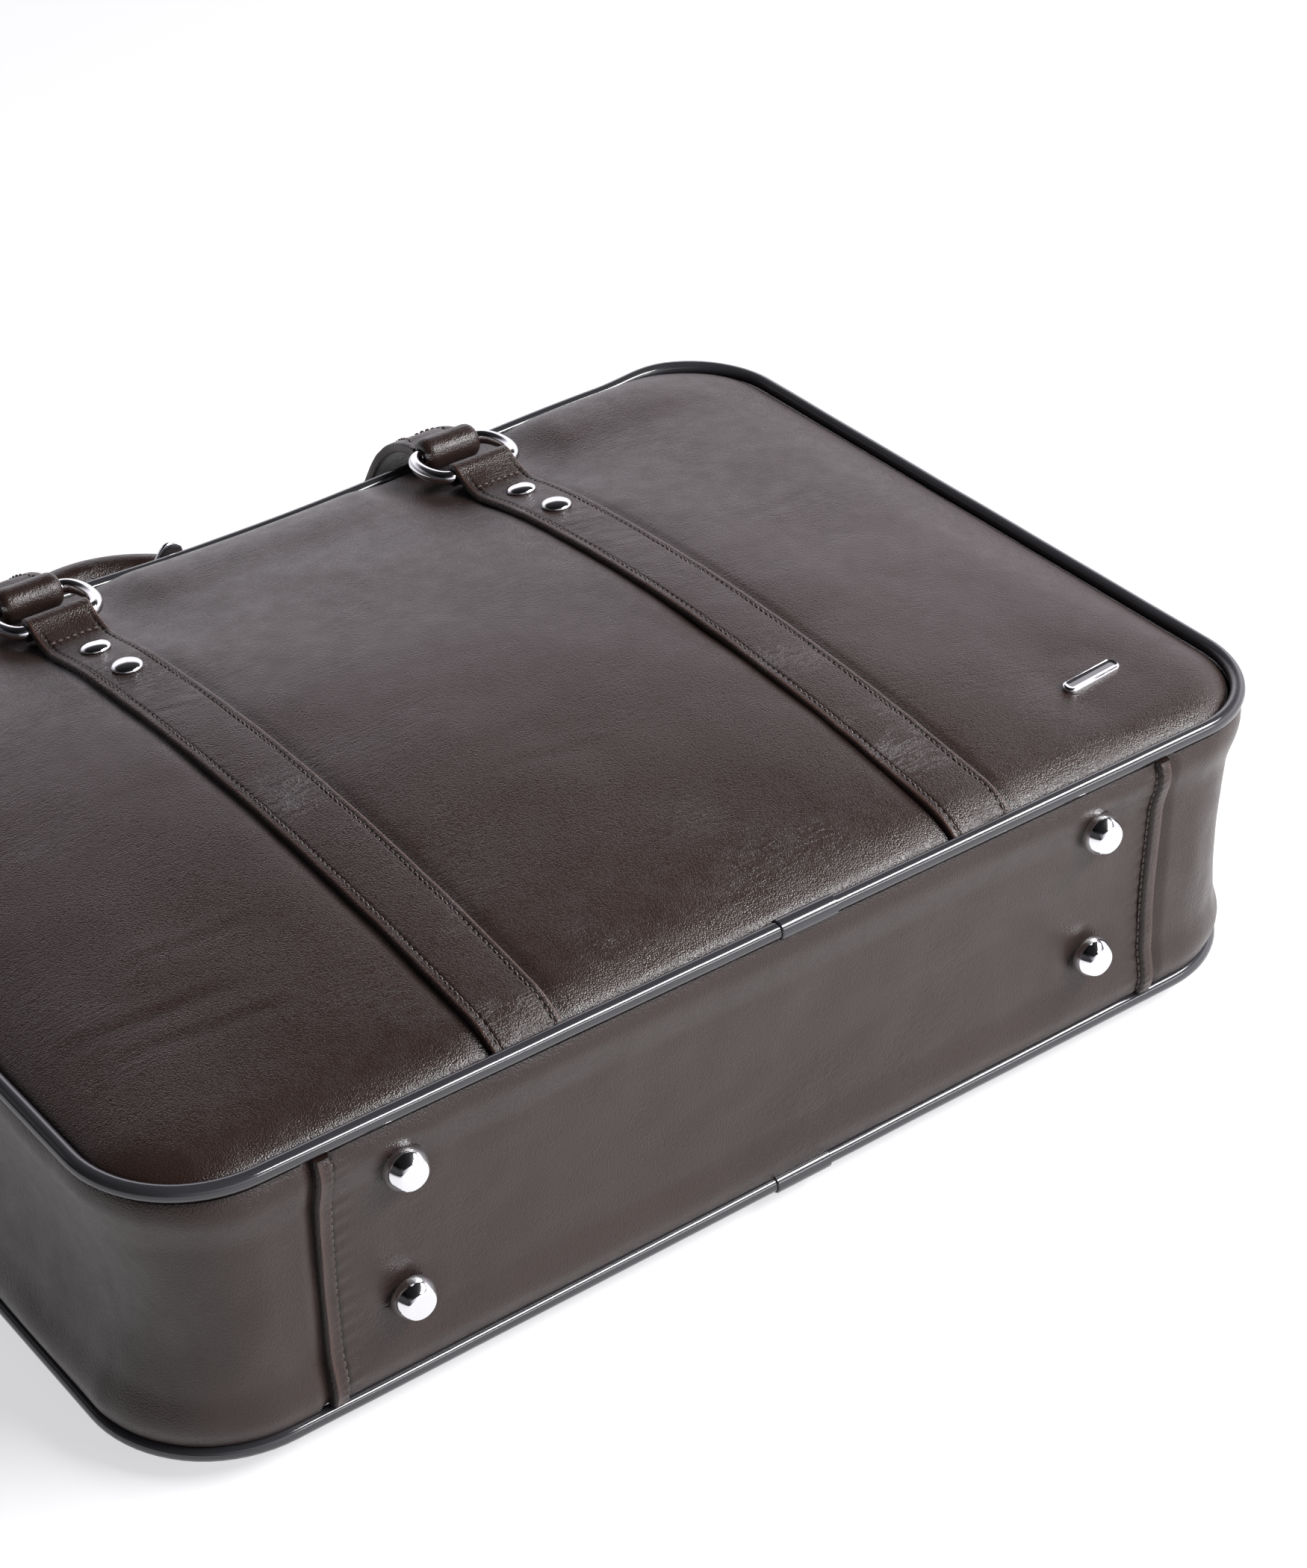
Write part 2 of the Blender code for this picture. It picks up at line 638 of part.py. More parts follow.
def make_rivets(side_name, side, front):
    def face(x, y):
        return strap_face(front, x, y)

    height = 0.0018 if front else 0.0009
    profile = [(RIVET_RADIUS - 0.0004, 0.0), (RIVET_RADIUS, 0.3 * height)]
    profile += [(RIVET_RADIUS * 0.82, 0.72 * height), (RIVET_RADIUS * 0.4, height)]
    for label, y in zip(("lower", "upper"), RIVET_Y):
        matrix = surface_matrix(side * STRAP_X, y, face, 1 if front else -1, GAP)
        name = "%s_%s_rivet_%s" % ("front" if front else "back", side_name, label)
        turned(name, profile, 12, matrix, CHROME)


def make_ring(name, side, front):
    """An oval ring: two straight bars joined by half-ellipse ends."""
    (near_y, near_z), (far_y, far_z) = ring_bars(front)
    near = Vector((side * STRAP_X, near_y, near_z))
    reach = Vector((0, far_y - near_y, far_z - near_z))
    normal = Vector((1, 0, 0)).cross(reach).normalized()
    ends = [math.pi * k / 7 for k in range(8)]
    plan = [(RING_STRAIGHT + RING_END * math.sin(a), 0.5 - 0.5 * math.cos(a)) for a in ends]
    plan += [(-x, share) for x, share in reversed(plan)]
    points = [near + Vector((x, 0, 0)) + reach * share for x, share in plan]
    sections = [circle(RING_WIRE, 8)] * len(points)
    sweep(name, points, [normal] * len(points), sections, CHROME, closed=True, origin=near)


# ---- Handles -------------------------------------------------------------------------


def heading(front, reach):
    """Direction of the handle's side view, as an angle above +Y, at a distance from the far bar."""
    if not front:
        return BACK_HEADING * smooth(reach / 0.012)
    curled = TAB_HEADING + (CURL_HEADING - TAB_HEADING) * smooth(reach / CURL_REACH)
    back = smooth((reach - CURL_REACH) / (SETTLE_REACH - CURL_REACH))
    return curled + (GRIP_HEADING - CURL_HEADING) * back


def handle_spot(front, reach):
    """(y, z) of the handle's centre line in side view, and its heading there."""
    _, (y, z) = ring_bars(front)
    step = 0.0005
    done = 0.0
    while done < reach - 1e-9:
        stride = min(step, reach - done)
        angle = heading(front, done + stride / 2)
        y += stride * math.cos(angle)
        z += stride * math.sin(angle)
        done += stride
    return y, z, heading(front, reach)


def handle_point(front, x, reach):
    y, z, angle = handle_spot(front, reach)
    return Vector((x, y, z)), Vector((0, -math.sin(angle), math.cos(angle)))


def arch_x(reach):
    return HANDLE_HALF * math.sqrt(max(0.0, 1 - (reach / HANDLE_REACH) ** 2))


def end_section(width, thick):
    half = width / 2
    low = thick / 2
    cut = thick * 0.3
    shape = [(half, -low + cut), (half, low - cut), (half - cut, low), (-half + cut, low)]
    shape += [(-half, low - cut), (-half, -low + cut), (-half + cut, -low), (half - cut, -low)]
    return shape


def make_handle_end(name, side, front):
    """Flat end of a handle: a loop round the ring's far bar and a tongue towards the grip."""
    thick = FRONT_END_THICK if front else BACK_END_THICK
    outer = FRONT_LOOP_OUTER if front else BACK_LOOP_OUTER
    _, (far_y, far_z) = ring_bars(front)
    stop = FLEX_REACH - FLEX_CLEAR if front else 0.034
    first = EYE_INNER + 0.0004
    reaches = [first + (stop - first) * k / 7 for k in range(8)]
    points, normals, sections = [], [], []
    for reach in reaches:
        share = (reach - first) / (stop - first)
        x = side * (STRAP_X + (arch_x(reach) - STRAP_X) * smooth(share))
        point, normal = handle_point(front, x, reach)
        points.append(point)
        normals.append(normal)
        sections.append(end_section(END_WIDTH - 0.005 * smooth(share), thick))
    hinge = (side * STRAP_X, far_y, far_z)
    made = sweep(name, points, normals, sections, STRAP_LEATHER, origin=hinge)
    wrap = eye(name + "_loop", hinge, outer, EYE_INNER, END_WIDTH - 0.0006)
    return unite(made, [wrap])


def make_grip(name, front):
    """The rolled grip: a round tube along the arch that flattens where it meets the handle's ends."""
    start = FLEX_REACH + FLEX_CLEAR if front else 0.034 + 2 * GAP
    steps = 20
    turn_start = math.asin(start / HANDLE_REACH)
    points, normals, sections = [], [], []
    for k in range(steps + 1):
        turn = turn_start + (math.pi - 2 * turn_start) * k / steps
        reach = HANDLE_REACH * math.sin(turn)
        point, normal = handle_point(front, HANDLE_HALF * math.cos(turn), reach)
        grown = smooth((reach - start) / 0.028)
        half_wide = 0.0078 + (GRIP_RADIUS - 0.0078) * grown
        half_thick = 0.0017 + (GRIP_RADIUS - 0.0017) * grown
        points.append(point)
        normals.append(normal)
        sections.append([(a * half_wide, b * half_thick) for a, b in circle(1.0, 10, 0.5)])
    y, z, _ = handle_spot(front, FLEX_REACH)
    sweep(name, points, normals, sections, STRAP_LEATHER, origin=(0.0, y, z) if front else (0.0, 0.0, 0.0))


# ---- Feet, board, divider, emblem ----------------------------------------------------


def make_feet():
    face = -HEIGHT / 2 - gusset_offset(FOOT_Z[0], 0.0)
    profile = [(FOOT_BASE, 0.0), (FOOT_BASE, 0.0014), (FOOT_BASE - 0.0006, 0.0028)]
    profile += [(FOOT_FACE + 0.0004, FOOT_HEIGHT - 0.0003), (FOOT_FACE, FOOT_HEIGHT)]
    washer = [(0.0070, 0.0), (0.0070, 0.0010)]
    for column, x in (("left", -FOOT_X), ("right", FOOT_X)):
        for row, z in (("back", FOOT_Z[0]), ("front", FOOT_Z[1])):
            outward = Matrix.Rotation(math.radians(90), 4, "X")
            outward.translation = (x, face - GAP, z)
            turned("foot_%s_%s" % (column, row), profile, 14, outward, CHROME)
            inside = Matrix.Rotation(math.radians(-90), 4, "X")
            inside.translation = (x, face + GUSSET_THICK + 2 * GAP + BOARD_THICK + GAP, z)
            turned("foot_washer_%s_%s" % (column, row), washer, 12, inside, CHROME)


def make_board():
    face = -HEIGHT / 2 - gusset_offset(FOOT_Z[0], 0.0) + GUSSET_THICK + 2 * GAP
    low = (-SEAM_X + 0.004, face, BACK_Z + 0.008)
    high = (SEAM_X - 0.004, face + BOARD_THICK, FRONT_Z - 0.008)
    block("base_board", low, high, BOARD, 0.0006)


def make_divider():
    """The padded wall of the laptop compartment, which stops below the zip strips."""
    half_x, low_y, high_y = 0.186, -0.1365, 0.094
    xs = [half_x * k for k in (-1, -0.96, -0.8, -0.4, 0, 0.4, 0.8, 0.96, 1)]
    ys = [low_y + (high_y - low_y) * k for k in (0, 0.04, 0.1, 0.2, 0.5, 0.8, 0.96, 1)]

    def puff(x, y):
        across = 1 - abs(x / half_x) ** 6
        up = 1 - abs((2 * y - low_y - high_y) / (high_y - low_y)) ** 6
        return 0.0012 + (DIVIDER_THICK / 2 - 0.0012) * across * up

    def narrow(y):
        return 1 - 0.17 * (1 - smooth((y - low_y) / 0.045))

    outer = [[(x * narrow(y), y, DIVIDER_Z + puff(x, y)) for y in ys] for x in xs]
    inner = [[(x * narrow(y), y, DIVIDER_Z - puff(x, y)) for y in ys] for x in xs]
    shell("laptop_divider", outer, inner, LINING)


def make_emblem():
    """A plain oblong plate, rounded at both ends, on the lower right of the front panel."""
    length, width, thick = EMBLEM_SIZE
    matrix = surface_matrix(*EMBLEM_AT, front_face, 1, GAP) @ Matrix.Rotation(EMBLEM_TURN, 4, "Z")
    outline = []
    for side in (1, -1):
        for k in range(7):
            turn = math.radians(-90 + 30 * k) + (0 if side > 0 else math.pi)
            x = side * (length - width) / 2 + width / 2 * math.cos(turn)
            outline.append((x, width / 2 * math.sin(turn)))
    made = bmesh.new()
    shrink = 0.86
    levels = ((0.0, 1.0), (0.6 * thick, 1.0), (thick, shrink))
    loops = [[made.verts.new(matrix @ Vector((x * s, y * s, h))) for x, y in outline] for h, s in levels]
    for first, second in zip(loops, loops[1:]):
        for i in range(len(first)):
            j = (i + 1) % len(first)
            made.faces.new((first[i], first[j], second[j], second[i]))
    made.faces.new(loops[0])
    made.faces.new(loops[-1])
    place(made, "emblem_plate", CHROME, matrix.translation)


def main():
    clear_scene()
    make_panels()
    make_piping()
    make_gussets()
    make_rims()
    make_strips()
    make_zip_tabs()
    make_sliders()
    for front, face_name in ((True, "front"), (False, "back")):
        for side, side_name in ((-1, "left"), (1, "right")):
            make_strap("%s_%s_strap" % (face_name, side_name), side, front)
            make_rivets(side_name, side, front)
            make_ring("%s_%s_ring" % (face_name, side_name), side, front)
            make_handle_end("%s_handle_%s_end" % (face_name, side_name), side, front)
        make_grip(face_name + "_handle_grip", front)
    make_feet()
    make_board()
    make_divider()
    make_emblem()


main()
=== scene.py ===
"""Looks of a soft leather briefcase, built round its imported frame.

Metres, in the row's frame: +Z out of the front panel, +Y towards the handles, +X along the length.
"""

import math

import bpy
import numpy as np
from mathutils import Matrix, Vector, noise


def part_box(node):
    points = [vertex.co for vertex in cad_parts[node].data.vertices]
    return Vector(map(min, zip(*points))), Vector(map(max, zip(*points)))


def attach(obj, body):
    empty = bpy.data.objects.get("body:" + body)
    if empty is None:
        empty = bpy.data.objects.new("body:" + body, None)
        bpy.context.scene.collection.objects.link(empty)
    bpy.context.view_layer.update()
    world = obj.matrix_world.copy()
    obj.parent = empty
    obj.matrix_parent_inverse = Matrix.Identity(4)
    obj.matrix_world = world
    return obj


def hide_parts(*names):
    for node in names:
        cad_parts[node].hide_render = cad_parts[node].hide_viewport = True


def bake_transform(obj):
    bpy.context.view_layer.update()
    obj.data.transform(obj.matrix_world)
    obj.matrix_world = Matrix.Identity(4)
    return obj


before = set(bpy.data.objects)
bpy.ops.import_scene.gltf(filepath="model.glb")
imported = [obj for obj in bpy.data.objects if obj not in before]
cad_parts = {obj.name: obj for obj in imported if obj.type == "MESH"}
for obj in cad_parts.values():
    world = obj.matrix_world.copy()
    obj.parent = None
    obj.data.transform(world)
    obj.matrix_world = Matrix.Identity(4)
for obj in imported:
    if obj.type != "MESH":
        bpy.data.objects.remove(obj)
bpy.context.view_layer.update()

# ---- Sizes that the frame was built with ----------------------------------------------

LENGTH, HEIGHT = 0.400, 0.286
BACK_Z, FRONT_Z = 0.010, 0.102
MIDDLE_Z = (BACK_Z + FRONT_Z) / 2
FRONT_CORNER, BACK_CORNER = 0.034, 0.038
PIPING_RADIUS, PIPING_CLEAR = 0.0024, 0.0030
EDGE_DROP, PANEL_THICK = 0.0010, 0.0040
FRONT_DOME, BACK_DOME = 0.0173, 0.0122
SAG, SAG_HALF_LENGTH, SAG_START_Y = 0.0055, 0.165, -0.020
SEAM_X, GUSSET_HOLLOW, GUSSET_THICK = 0.1505, 0.0060, 0.0020
MOUTH_HALF, FOLD_Z, STRIP_FACE = 0.1577, 0.0137, 0.0015
STRAP_X, STRAP_WIDTH = 0.080, 0.023
RIVET_Y = (0.0685, 0.0885)
RING_WIRE, RING_STRAIGHT, RING_END = 0.0024, 0.0113, 0.0050
FRONT_BARS = ((0.112, 0.10871), (0.131963, 0.107489))
BACK_BARS = ((0.112, 0.0046), (0.132, 0.0046))
HANDLE_REACH, HANDLE_HALF, GRIP_RADIUS = 0.135, 0.078, 0.0075
FLEX_REACH, CURL_REACH, SETTLE_REACH = 0.040, 0.046, 0.078
TAB_HEADING, CURL_HEADING, GRIP_HEADING = math.radians(-5), math.radians(-76), math.radians(-51)
BACK_HEADING = math.radians(6.2)
FOOT_X, FOOT_Z = 0.1234, (0.0382, 0.0835)
EMBLEM_AT, EMBLEM_TURN = (0.1535, -0.1065), math.radians(7)
SLIDERS = (("right", -0.0265, -1), ("left", -0.0415, 1))
PULL_OUT, PULL_LEAN = math.radians(6), math.radians(38)
STITCH_PITCH = 0.0025


def ramp(value):
    value = np.clip(value, 0.0, 1.0)
    return value * value * (3 - 2 * value)


def bell(value):
    return np.exp(-np.square(value))


def murk(points, size, seed=0.0, octaves=2):
    """Smooth noise from -1 to 1 at each point, with features of a given size."""
    flat = np.asarray(points, float).reshape(-1, 3) / size
    shift = Vector((seed, 1.7 * seed, -seed))
    made = []
    for x, y, z in flat:
        spot = Vector((x, y, z)) + shift
        made.append(sum(noise.noise(spot * 2**k) / 2**k for k in range(octaves)))
    return np.array(made).reshape(np.asarray(points).shape[:-1])


def wavy(x, y, z, size, seed):
    """The same noise, from separate coordinates."""
    return murk(np.stack(np.broadcast_arrays(x, y, z), -1), size, seed)


# ---- Materials ------------------------------------------------------------------------


class Nodes:
    """A material's node tree, built a few nodes at a time."""

    def __init__(self, name):
        self.material = bpy.data.materials.new(name)
        self.material.use_nodes = True
        self.tree = self.material.node_tree
        self.shader = self.tree.nodes["Principled BSDF"]
        self.place = self.add("ShaderNodeTexCoord").outputs["Object"]

    def add(self, kind, inputs=(), **settings):
        node = self.tree.nodes.new(kind)
        for key, value in settings.items():
            setattr(node, key, value)
        for key, value in dict(inputs).items():
            self.feed(node.inputs[key], value)
        return node

    def feed(self, socket, value):
        if isinstance(value, bpy.types.NodeSocket):
            self.tree.links.new(value, socket)
        elif isinstance(value, tuple) and len(value) == 3 and socket.type == "RGBA":
            socket.default_value = (*value, 1.0)
        else:
            socket.default_value = value

    def set(self, **values):
        for key, value in values.items():
            self.feed(self.shader.inputs[key.replace("_", " ")], value)

    def noise(self, scale, detail=2.0, where=None, roughness=0.5):
        inputs = {"Vector": where or self.place, "Scale": scale, "Detail": detail, "Roughness": roughness}
        return self.add("ShaderNodeTexNoise", inputs).outputs["Fac"]

    def math(self, operation, first, second=0.0, clamp=False):
        node = self.add("ShaderNodeMath", operation=operation, use_clamp=clamp)
        self.feed(node.inputs[0], first)
        self.feed(node.inputs[1], second)
        return node.outputs[0]

    def mix(self, share, first, second):
        node = self.add("ShaderNodeMix", data_type="RGBA")
        self.feed(node.inputs["Factor"], share)
        self.feed(node.inputs["A"], first)
        self.feed(node.inputs["B"], second)
        return node.outputs["Result"]

    def span(self, value, low, high, to_low=0.0, to_high=1.0):
        inputs = {"Value": value, "From Min": low, "From Max": high, "To Min": to_low, "To Max": to_high}
        return self.add("ShaderNodeMapRange", inputs).outputs["Result"]

    def stretch(self, scale, turn=(0.0, 0.0, 0.0)):
        inputs = {"Vector": self.place, "Scale": scale, "Rotation": turn}
        return self.add("ShaderNodeMapping", inputs).outputs["Vector"]

    def bump(self, height, strength, distance, under=None):
        inputs = {"Height": height, "Strength": strength, "Distance": distance}
        if under:
            inputs["Normal"] = under
        return self.add("ShaderNodeBump", inputs).outputs["Normal"]


def leather(name, tone, dark, light, rough=0.325, grain=0.00046, depth=0.5, crease=0.20):
    """Smooth calf leather: fine pebbled grain, faint long creases with painted shade in them, painted shade
    at seams, creases and stitch holes from the shade attribute, and paler worn edges.
    """
    n = Nodes(name)
    drift = n.add("ShaderNodeTexNoise", {"Vector": n.place, "Scale": 700.0, "Detail": 1.0})
    pushed = n.add("ShaderNodeVectorMath", operation="MULTIPLY_ADD")
    n.feed(pushed.inputs[0], drift.outputs["Color"])
    n.feed(pushed.inputs[1], (0.0004, 0.0004, 0.0004))
    n.feed(pushed.inputs[2], n.place)
    cells = n.add("ShaderNodeTexVoronoi", feature="SMOOTH_F1")
    n.feed(cells.inputs["Vector"], pushed.outputs["Vector"])
    n.feed(cells.inputs["Scale"], 1.0 / grain)
    n.feed(cells.inputs["Smoothness"], 0.35)
    pebble = cells.outputs["Distance"]
    pores = n.noise(2600.0, 2.0)
    long_wave = n.noise(1.0, 4.0, n.stretch((90.0, 420.0, 200.0), (0.0, 0.0, 0.35)), 0.6)
    folds = n.span(n.math("ABSOLUTE", n.math("SUBTRACT", long_wave, 0.5)), 0.0, 0.07)
    patch = n.span(n.noise(26.0, 2.0), 0.50, 0.68)
    folded = n.math("MULTIPLY", n.math("SUBTRACT", 1.0, folds), patch)
    height = n.math("ADD", n.math("MULTIPLY", pebble, -0.75), n.math("MULTIPLY", pores, 0.35))
    fine = n.bump(height, depth, 0.00030)
    normal = n.bump(n.math("MULTIPLY", folded, -1.0), crease, 0.00040, fine)
    shade = n.add("ShaderNodeAttribute", attribute_name="shade").outputs["Fac"]
    cloud = n.span(n.noise(11.0, 3.0), 0.35, 0.65)
    body = n.mix(cloud, tone, tuple(c * 0.86 for c in tone))
    body = n.mix(n.math("MULTIPLY", pebble, 0.5, True), body, dark)
    # Painted shade along the long crease lines.
    body = n.mix(n.math("MULTIPLY", folded, 0.35), body, dark)
    # Painted shade where the shade attribute is below 0; paler worn edges where it is above 0.
    body = n.mix(n.math("MULTIPLY", shade, -1.0, True), body, dark)
    body = n.mix(n.math("MULTIPLY", shade, 1.0, True), body, light)
    gloss = n.span(n.noise(150.0, 3.0), 0.3, 0.7, rough - 0.05, rough + 0.06)
    n.set(Base_Color=body, Roughness=gloss, Normal=normal)
    n.set(IOR=1.43, Sheen_Weight=0.02, Sheen_Roughness=0.45)
    return n.material


def make_piping_material():
    n = Nodes("piping_gloss")
    smear = n.noise(1.0, 2.0, n.stretch((40.0, 40.0, 300.0)))
    n.set(
        Base_Color=n.mix(n.noise(60.0, 2.0), (0.022, 0.022, 0.025), (0.034, 0.033, 0.037)),
        Roughness=n.span(smear, 0.3, 0.7, 0.09, 0.15),
        Normal=n.bump(n.noise(240.0, 1.0), 0.05, 0.0003),
        IOR=1.52,
    )
    return n.material


def make_chrome(name="polished_chrome", tint=(0.80, 0.80, 0.82), rough=0.06):
    n = Nodes(name)
    haze = n.noise(220.0, 3.0)
    scratch = n.noise(1.0, 4.0, n.stretch((300.0, 4200.0, 900.0), (0.4, 0.2, 0.9)))
    n.set(
        Base_Color=n.mix(haze, tint, tuple(c * 0.93 for c in tint)),
        Metallic=1.0,
        Roughness=n.span(haze, 0.3, 0.7, rough, rough + 0.05),
        Normal=n.bump(scratch, 0.025, 0.0001),
    )
    return n.material


def make_thread():
    n = Nodes("waxed_thread")
    twist = n.noise(1.0, 1.0, n.stretch((2600.0, 5200.0, 2600.0), (0.0, 0.0, 0.7)))
    n.set(
        Base_Color=n.mix(twist, (0.030, 0.018, 0.016), (0.085, 0.060, 0.052)),
        Roughness=n.span(twist, 0.2, 0.8, 0.28, 0.45),
        Normal=n.bump(twist, 0.5, 0.0001),
    )
    return n.material


def make_cloth(name, first, second, pitch, sheen=0.25):
    """Plain weave: two sets of fine ridges at right angles, with slubs."""
    n = Nodes(name)
    waves = []
    for axis in ("X", "Y", "Z"):
        wave = n.add("ShaderNodeTexWave", {"Vector": n.place, "Scale": 0.314 / pitch, "Distortion": 0.6})
        wave.bands_direction = axis
        waves.append(wave.outputs["Fac"])
    weave = n.math("MULTIPLY", n.math("ADD", n.math("ADD", waves[0], waves[1]), waves[2]), 0.333)
    slub = n.noise(1.0, 2.0, n.stretch((90.0, 900.0, 400.0)))
    n.set(
        Base_Color=n.mix(n.math("MULTIPLY", weave, slub), first, second),
        Roughness=n.span(slub, 0.2, 0.8, 0.75, 0.92),
        Normal=n.bump(weave, 0.6, pitch * 0.4),
        Sheen_Weight=sheen,
        Sheen_Roughness=0.6,
    )
    return n.material


def make_board():
    n = Nodes("fibre_board")
    fibre = n.noise(1.0, 5.0, n.stretch((700.0, 2400.0, 700.0)), 0.7)
    n.set(
        Base_Color=n.mix(fibre, (0.19, 0.145, 0.10), (0.10, 0.075, 0.050)),
        Roughness=n.span(fibre, 0.2, 0.8, 0.72, 0.9),
        Normal=n.bump(fibre, 0.4, 0.0003),
    )
    return n.material


BODY_TONE = (0.0275, 0.0142, 0.0113)
STRAP_TONE = (0.0270, 0.0140, 0.0112)
HANDLE_TONE = (0.0260, 0.0136, 0.0110)
BODY_DARK = (0.0080, 0.0046, 0.0040)
BODY_LIGHT = (0.1000, 0.0560, 0.0450)
HIDE = leather("body_leather", BODY_TONE, BODY_DARK, BODY_LIGHT)
STRAP_HIDE = leather("strap_leather_fine", STRAP_TONE, BODY_DARK, BODY_LIGHT, 0.36, 0.00052, 0.60, 0.6)
HANDLE_HIDE = leather("handle_leather", HANDLE_TONE, BODY_DARK, BODY_LIGHT, 0.33, 0.00056, 0.45, 0.5)
PIPING = make_piping_material()
CHROME = make_chrome()
THREAD = make_thread()
LINING = make_cloth("lining_twill", (0.050, 0.040, 0.034), (0.115, 0.098, 0.086), 0.0006)
TAPE = make_cloth("zip_tape_weave", (0.012, 0.010, 0.009), (0.040, 0.034, 0.031), 0.0005, 0.1)
TEETH = make_chrome("zip_teeth_metal", (0.42, 0.41, 0.40), 0.18)
BOARD = make_board()


# ---- Mesh making ----------------------------------------------------------------------


def add_mesh(name, points, faces, finish, sharp=None):
    mesh = bpy.data.meshes.new(name)
    mesh.from_pydata(np.asarray(points, float).reshape(-1, 3).tolist(), [], faces)
    mesh.update()
    mesh.shade_smooth()
    if sharp:
        mesh.set_sharp_from_angle(angle=math.radians(sharp))
    mesh.materials.append(finish)
    made = bpy.data.objects.new(name, mesh)
    bpy.context.scene.collection.objects.link(made)
    return made


def shade_points(made, values):
    """Paints shade into the leather where below 0, at seams, creases, grooves and stitch holes, and a paler
    worn edge where above 0.
    """
    attribute = made.data.attributes.new("shade", "FLOAT", "POINT")
    attribute.data.foreach_set("value", np.asarray(values, np.float32).ravel())


def quads(rows, columns, start=0, wrap_rows=False, wrap_columns=False):
    i = np.arange(rows if wrap_rows else rows - 1)[:, None]
    j = np.arange(columns if wrap_columns else columns - 1)[None, :]
    k, m = (i + 1) % rows, (j + 1) % columns
    corners = (i * columns + j, k * columns + j, k * columns + m, i * columns + m)
    return (np.stack(np.broadcast_arrays(*corners), -1).reshape(-1, 4) + start).tolist()


def shell(name, outer, inner, finish, flip=False, shade=None):
    """Closed solid between two grids of points. Outer normals follow rows x columns, or the reverse."""
    rows, columns = outer.shape[:2]
    count = rows * columns
    faces = quads(rows, columns) + [f[::-1] for f in quads(rows, columns, count)]
    border = [(i, 0) for i in range(rows)] + [(rows - 1, j) for j in range(1, columns)]
    border += [(i, columns - 1) for i in range(rows - 2, -1, -1)]
    border += [(0, j) for j in range(columns - 2, 0, -1)]
    ids = [i * columns + j for i, j in border]
    faces += [[b, a, a + count, b + count] for a, b in zip(ids, ids[1:] + ids[:1])]
    if flip:
        faces = [f[::-1] for f in faces]
    made = add_mesh(name, np.concatenate([outer.reshape(-1, 3), inner.reshape(-1, 3)]), faces, finish, 50)
    if shade is not None:
        shade_points(made, np.concatenate([shade.ravel(), np.zeros(count)]))
    return made


def loft(name, rings, finish, closed=False, sharp=None, shade=None):
    """Skins rings of points, anticlockwise as seen looking back along the path."""
    rings = np.asarray(rings, float)
    count, sides = rings.shape[:2]
    faces = quads(count, sides, 0, closed, True)
    if not closed:
        faces += [list(range(sides)), list(range((count - 1) * sides, count * sides))[::-1]]
    made = add_mesh(name, rings, faces, finish, sharp)
    if shade is not None:
        shade_points(made, shade)
    return made


def frames(points, up, closed=False):
    """Unit vectors (forward, across, up) along a path, with up kept near the given direction."""
    points = np.asarray(points, float)
    if closed:
        forward = np.roll(points, -1, 0) - np.roll(points, 1, 0)
    else:
        forward = np.gradient(points, axis=0)
    forward /= np.linalg.norm(forward, axis=1, keepdims=True)
    across = np.cross(forward, up)
    across /= np.linalg.norm(across, axis=1, keepdims=True)
    return forward, across, np.cross(across, forward)


def tube_rings(points, up, sections, closed=False):
    _, across, above = frames(points, up, closed)
    sections = np.asarray(sections, float)
    if sections.ndim == 2:
        sections = np.broadcast_to(sections, (len(points), *sections.shape))
    points = np.asarray(points, float)[:, None]
    return points + across[:, None] * sections[..., :1] + above[:, None] * sections[..., 1:]


def circle(radius, sides, phase=0.0):
    turn = 2 * np.pi * (np.arange(sides) + phase) / sides
    return np.stack([radius * np.cos(turn), radius * np.sin(turn)], -1)


def turned(name, profile, sides, matrix, finish, sharp=35):
    """Solid of revolution about the matrix's Z. The profile holds (radius, height) from the base up."""
    turn = 2 * np.pi * np.arange(sides) / sides
    rings = [np.stack([r * np.cos(turn), r * np.sin(turn), np.full(sides, h)], -1) for r, h in profile]
    spots = np.array([[matrix @ Vector(p) for p in ring] for ring in rings])
    faces = quads(len(rings), sides, 0, False, True)
    faces = [f[::-1] for f in faces]
    faces += [list(range(sides))[::-1], list(range((len(rings) - 1) * sides, len(rings) * sides))]
    return add_mesh(name, spots, faces, finish, sharp)


def walk(points, spacing):
    """Points and their distances, evenly spaced along a polyline."""
    points = np.asarray(points, float)
    run = np.concatenate([[0.0], np.cumsum(np.linalg.norm(np.diff(points, axis=0), axis=1))])
    at = np.arange(0.0, run[-1], spacing)
    return np.stack([np.interp(at, run, points[:, k]) for k in range(3)], -1)


# Share of the pitch, height above the leather, and thickness, along one stitch.
STITCH_HUMP = (
    (0.06, -0.00034, 0.5),
    (0.2, 0.00002, 1),
    (0.5, 0.00012, 1.05),
    (0.74, 0.00002, 1),
    (0.86, -0.00034, 0.5),
)


def stitches(name, body, lines, pitch=STITCH_PITCH, radius=0.00036):
    """Thread laid along lines of (points, outward directions), one small hump between each two holes."""
    points, faces = [], []
    turn = 2 * np.pi * np.arange(6) / 6
    for line, out in lines:
        line = walk(line, pitch)
        out = np.asarray(out, float)
        if out.ndim == 1:
            out = np.broadcast_to(out, line.shape)
        else:
            spread = np.linspace(0, len(out) - 1, len(line))
            out = np.stack([np.interp(spread, range(len(out)), out[:, k]) for k in range(3)], -1)
        for a, b, up in zip(line, line[1:], out):
            along = b - a
            side = np.cross(along, up)
            side /= np.linalg.norm(side)
            for share, lift, thick in STITCH_HUMP:
                centre = a + along * share + up * lift + side * (share - 0.5) * 0.00022
                ring = np.cos(turn)[:, None] * side + np.sin(turn)[:, None] * up
                points.append(centre + ring * radius * thick)
            start = (len(points) - 5) * 6
            faces += quads(5, 6, start, False, True)
            faces += [list(range(start, start + 6)), list(range(start + 24, start + 30))[::-1]]
    made = add_mesh(name, points, faces, THREAD)
    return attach(made, body)


